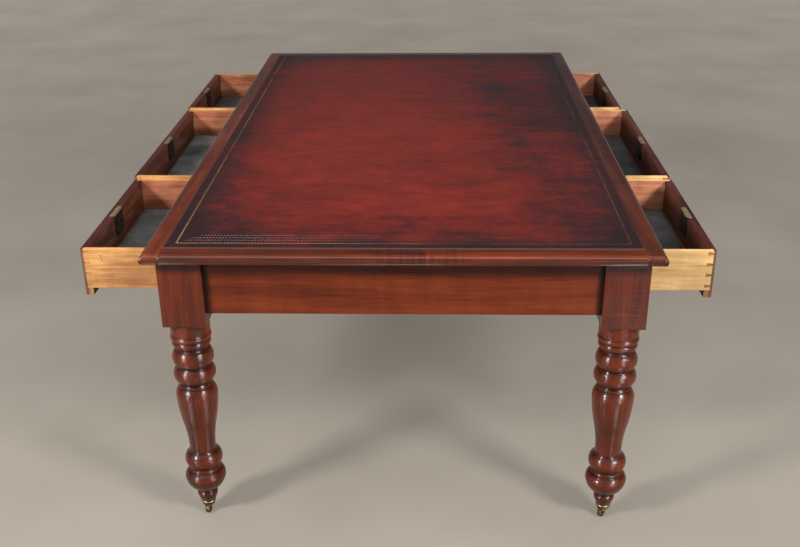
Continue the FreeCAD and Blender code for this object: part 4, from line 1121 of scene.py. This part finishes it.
# %% Metals
def old_metal(name, clean, tarnished, share, rough, grit, bright=None):
    """A metal whose tarnish lies in clouds 12 mm across, up to that share, with scratches of grit mm.

    Bright is a pair of heights in mm between which it is kept clean: partly wear from knocks, and
    partly a painted highlight."""
    node, dress = new_material(name, Metallic=1.0)
    spot = node("TexCoord")["Object"]
    cloud = node("TexNoise", {"Vector": spot, "Scale": 85.0, "Detail": 6.0, "Roughness": 0.66})["Fac"]
    scratch = node("TexNoise", {"Vector": spot, "Scale": 1000.0 / grit, "Detail": 2.0})["Fac"]
    brown = node("MapRange", [cloud, 0.62 - 0.3 * share, 0.74 - 0.3 * share])[0]
    if bright:
        height = node("SeparateXYZ", [spot])["Z"]
        off = node("Math", [height, sum(bright) / 2000.0], operation="SUBTRACT")[0]
        off = node("Math", [off], operation="ABSOLUTE")[0]
        half = (bright[1] - bright[0]) / 2000.0
        off = node("MapRange", [off, half, half + 0.0006])[0]
        brown = node("Math", [brown, off], operation="MULTIPLY")[0]
    shade = node("Mix", {0: brown, 6: linear(clean), 7: linear(tarnished)}, data_type="RGBA")[2]
    dull = node("MapRange", [brown, 0.0, 1.0, rough, rough + 0.25])[0]
    bump = node("Bump", {"Height": scratch, "Strength": 0.25, "Distance": 0.0002})[0]
    return dress(Base_Color=shade, Roughness=dull, Normal=bump)


castor_brass = old_metal("cast_brass_castor", "#a08e68", "#55462f", 0.8, 0.42, 1.2)
# The bright band at the rim of the cups is partly wear and partly a painted highlight
cup_brass = old_metal("cast_brass_cup", "#cdb98d", "#55462f", 0.8, 0.36, 1.2, bright=(34.4, 37.5))
plate_brass = old_metal("rolled_brass_plate", "#d6c49a", "#9a8660", 0.4, 0.5, 0.8)
lock_iron = old_metal("blacked_iron_lock", "#4a4640", "#2c2822", 0.6, 0.45, 1.0)
print("metals:", [m.name for m in (castor_brass, cup_brass, plate_brass, lock_iron)])

# %% [markdown]
# ## Castors
#
# Each leg stands on a socket castor: a cup pushed over the foot of the leg, a horn that turns under
# it, and a small roller. The cups and rollers are turned, so they are spun from outlines like the
# legs, the rollers round a level axle that points where the castor has swung. The horns keep their
# solids, with their edges eased.

# %% Cups, rollers and horns
# Outlines as (radius, height), the roller's with its middle at height 0
CUP = np.array([
    (0, 27), (16.3, 27), (17.0, 27.5), (17.2, 28.6), (17.9, 29.4), (18.1, 31.5), (18.8, 33.6),
    (19.2, 34.3), (19.75, 34.8), (19.8, 35.9), (19.5, 36.7), (18.9, CUP_RIM), (17.05, CUP_RIM),
    (17, 31), (0, 31)])
ROLLER = np.array([
    (0, -4.6), (3.0, -5.5), (4.2, -5.5), (4.9, -4.4), (8.6, -4.4), (9.4, -5.4), (10.9, -5.4),
    (11.4, -4.6), (11.6, -3.2), (11.6, 3.2), (11.4, 4.6), (10.9, 5.4), (9.4, 5.4), (8.6, 4.4),
    (4.9, 4.4), (4.2, 5.5), (3.0, 5.5), (0, 4.6)])
TRAIL, AXLE_HEIGHT = 10.0, 11.6  # of the axle behind the castor's pin and above the floor
SWUNG = {"left_near": 0.0, "right_near": -32.0, "left_far": 24.0, "right_far": 41.0}  # degrees
cups = []
for name, degrees in SWUNG.items():
    side, end = CORNERS[name]
    at = np.array([LEG_AT[0] * side, LEG_AT[1] * end, 0.0])
    spun, faces = turned(CUP, 64)
    cups.append((spun + at, faces))
    c, s = np.cos(np.radians(degrees)), np.sin(np.radians(degrees))
    spun, faces = turned(ROLLER, 48)
    axle = np.array([[0.0, 1.0, 0.0], [0.0, 0.0, 1.0], [1.0, 0.0, 0.0]])
    swing = np.array([[c, -s, 0.0], [s, c, 0.0], [0.0, 0.0, 1.0]])
    spun = spun @ axle @ swing.T + at + swing @ [0.0, -TRAIL, AXLE_HEIGHT]
    piece("castor_roller_" + name, [(spun, faces)], castor_brass, "castor_roller_" + name,
          ["castor_wheel_" + name])
    eased_copy("castor_fork_" + name, "castor_horn_" + name, [castor_brass], 0.3)
piece("castor_cups_turned", cups, cup_brass, "desk", ["castor_cups"])

# %% [markdown]
# ## Knobs, escutcheons and locks
#
# Each drawer has two turned knobs and a lock between them. A knob is turned like a leg, as a neck
# that swells to a rim, a shallow dome and one fine line, but its axis points out of the drawer.

# %% A turned knob
KNOB_SIZE = np.array([34.0, 21.0])  # how far it stands out, and its radius
KNOB_HEIGHT, KEY_HEIGHT, PLATE_TOP = 673.0, 704.5, 735.75  # axis, eye of the keyhole, lock's top


def knob(front, y, side):
    """A turned knob: its outline of (reach, radius) from the front, spun about an axis along x."""
    rows = [np.array([[-0.02, 0.0], [-0.02, 0.55], [0.0, 0.62], [0.1, 0.62]]) * KNOB_SIZE]
    for cut in ((0.29, 0.43, 0.44, 0.60), (0.66, 1.0, 0.93, 0.72), (0.982, 0.42, 1.0, 0.12)):
        rows.append(round_cut(rows[-1][-1], cut[:2] * KNOB_SIZE, cut[2:] * KNOB_SIZE, 16))
    line = np.concatenate(rows + [[(KNOB_SIZE[0], 0.0)]])
    line[:, 0] -= 0.35 * np.exp(-((line[:, 1] - 9.0) / 0.7) ** 2) * (line[:, 0] > 25)
    spun, faces = turned(line[:, ::-1], 64)
    spun = np.stack([front + side * spun[..., 2], y + spun[..., 0], KNOB_HEIGHT + spun[..., 1]], -1)
    return spun, faces


print("a knob has", len(knob(0.0, 0.0, 1)[1]), "faces")

# %% [markdown]
# A brass plate lines each keyhole. It is a ring of points between two outlines, both measured from
# the eye of the keyhole: the hole itself, and the round rim, whose middle lies lower.

# %% The plate round a keyhole
def escutcheon(front, y, side):
    """The plate round a keyhole. In direction a the hole reaches 2.6 mm, or 9.2 mm down its slot,
    and the rim is where the ray meets a circle of 12 mm whose centre is 4.5 mm below the eye."""
    a = np.linspace(0, 2 * np.pi, 96, endpoint=False) + 0.0327
    run, rise = np.cos(a), np.sin(a)
    slot = np.minimum(1.2 / np.maximum(np.abs(run), 1e-6), 9.2 / np.maximum(-rise, 1e-6))
    hole = np.where(rise < 0, np.maximum(2.6, slot), 2.6)
    rim = -4.5 * rise + np.sqrt((4.5 * rise) ** 2 + 12.0 ** 2 - 4.5 ** 2)
    share = np.array([0.0, 0.0, 0.06, 0.5, 0.93, 1.0, 1.0])[:, None]
    lift = np.array([-0.8, 0.2, 0.4, 0.42, 0.38, 0.1, -0.8])[:, None]
    reach = hole + share * (rim - hole)
    height = KEY_HEIGHT + reach * rise
    grid = np.stack(np.broadcast_arrays(front + side * lift, y + reach * run, height), -1)
    return grid, grid_faces(*reach.shape, ring=True, loop=True).tolist()


print("a keyhole plate has", len(escutcheon(0.0, 0.0, 1)[1]), "faces")

# %% [markdown]
# The lock's own brass edge is let into the top of the front and held by two slotted screws. A screw
# head is a small dome less a slot.

# %% Fit the hardware
def screw_head(x, y, top, radius=3.0):
    """A round head: for u and v from -1 to 1 it is a disc x = r u, y = r v sqrt(1 - u ** 2), domed
    by 0.25 mm, with a slot 0.7 mm deep cut where u is near 0."""
    u = np.array([-1, -0.97, -0.8, -0.5, -0.2, -0.13, -0.12, 0.12, 0.13, 0.2, 0.5, 0.8, 0.97, 1])
    v = np.concatenate([[-1.0], np.linspace(-1, 1, 13), [1.0]])
    gu, gv = np.meshgrid(u, v, indexing="ij")
    wide = gv * np.sqrt(1 - gu ** 2)
    dome = top - 0.25 * (gu ** 2 + wide ** 2) - 0.7 * (np.abs(gu) < 0.125)
    dome[:, [0, -1]] = top - 1.2
    dome[[0, -1], :] = top - 1.2
    return closed_grid(np.stack([x + radius * gu, y + radius * wide, dome], -1))


def by_height(centres, normals):
    """Iron below the brass plate that closes the top of the lock."""
    return np.where(centres[:, 2] > PLATE_TOP - 2.35, 1, 0)


for side, hand in ((-1, "left"), (1, "right")):
    for number, slot in enumerate(DRAWERS):
        name = "%s_%s" % (hand, slot)
        low, high = (np.array(c) * 1000 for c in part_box("drawer_front_" + name))
        front = high[0] if side > 0 else low[0]
        middle, width = (low[1] + high[1]) / 2, high[1] - low[1]
        wood = timber("turned_mahogany_knobs_" + name, "X", (0.2 * number, 0.9, 0.4), LEG_SHADES,
                      0.75, 0.1, gloss=0.25, bands=20.0, marks=("wax_and_shade",))
        piece("knobs_" + name, [knob(front, middle + k * 0.25 * width, side) for k in (-1, 1)], wood,
              "drawer_" + name, ["pulls_" + name])
        piece("escutcheon_" + name, [escutcheon(front, middle, side)], plate_brass, "drawer_" + name,
              ["pulls_" + name])
        eased_copy("lock_" + name, "drawer_lock_" + name, [lock_iron, plate_brass], 0.2,
                           by_height)
        centre = front - side * 14.5
        piece("lock_screws_" + name, [screw_head(centre, middle + k * 30.0, PLATE_TOP) for k in (-1, 1)],
              plate_brass, "drawer_" + name)
        finish_solid("bolt_" + name, plate_brass)

# %% [markdown]
# Where the near left drawer was mended, two nails were driven through the bare side into the end of
# the front. Each head is a spun dome, turned to face out of the side.

# %% Nails in the mended drawer
head = np.array([(0.0, -0.6), (1.9, -0.6), (1.9, 0.05), (1.2, 0.14), (0.0, 0.18)])  # radius, height
side_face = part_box("drawer_box_left_near")[0][1] * 1000
nails = []
for x, z in ((-751.0, 717.0), (-750.0, 707.0)):
    spun, faces = turned(head, 24)
    nails.append((np.stack([x + spun[..., 0], side_face - spun[..., 2], z + spun[..., 1]], -1), faces))
piece("nail_heads_left_near", nails, lock_iron, "drawer_left_near")
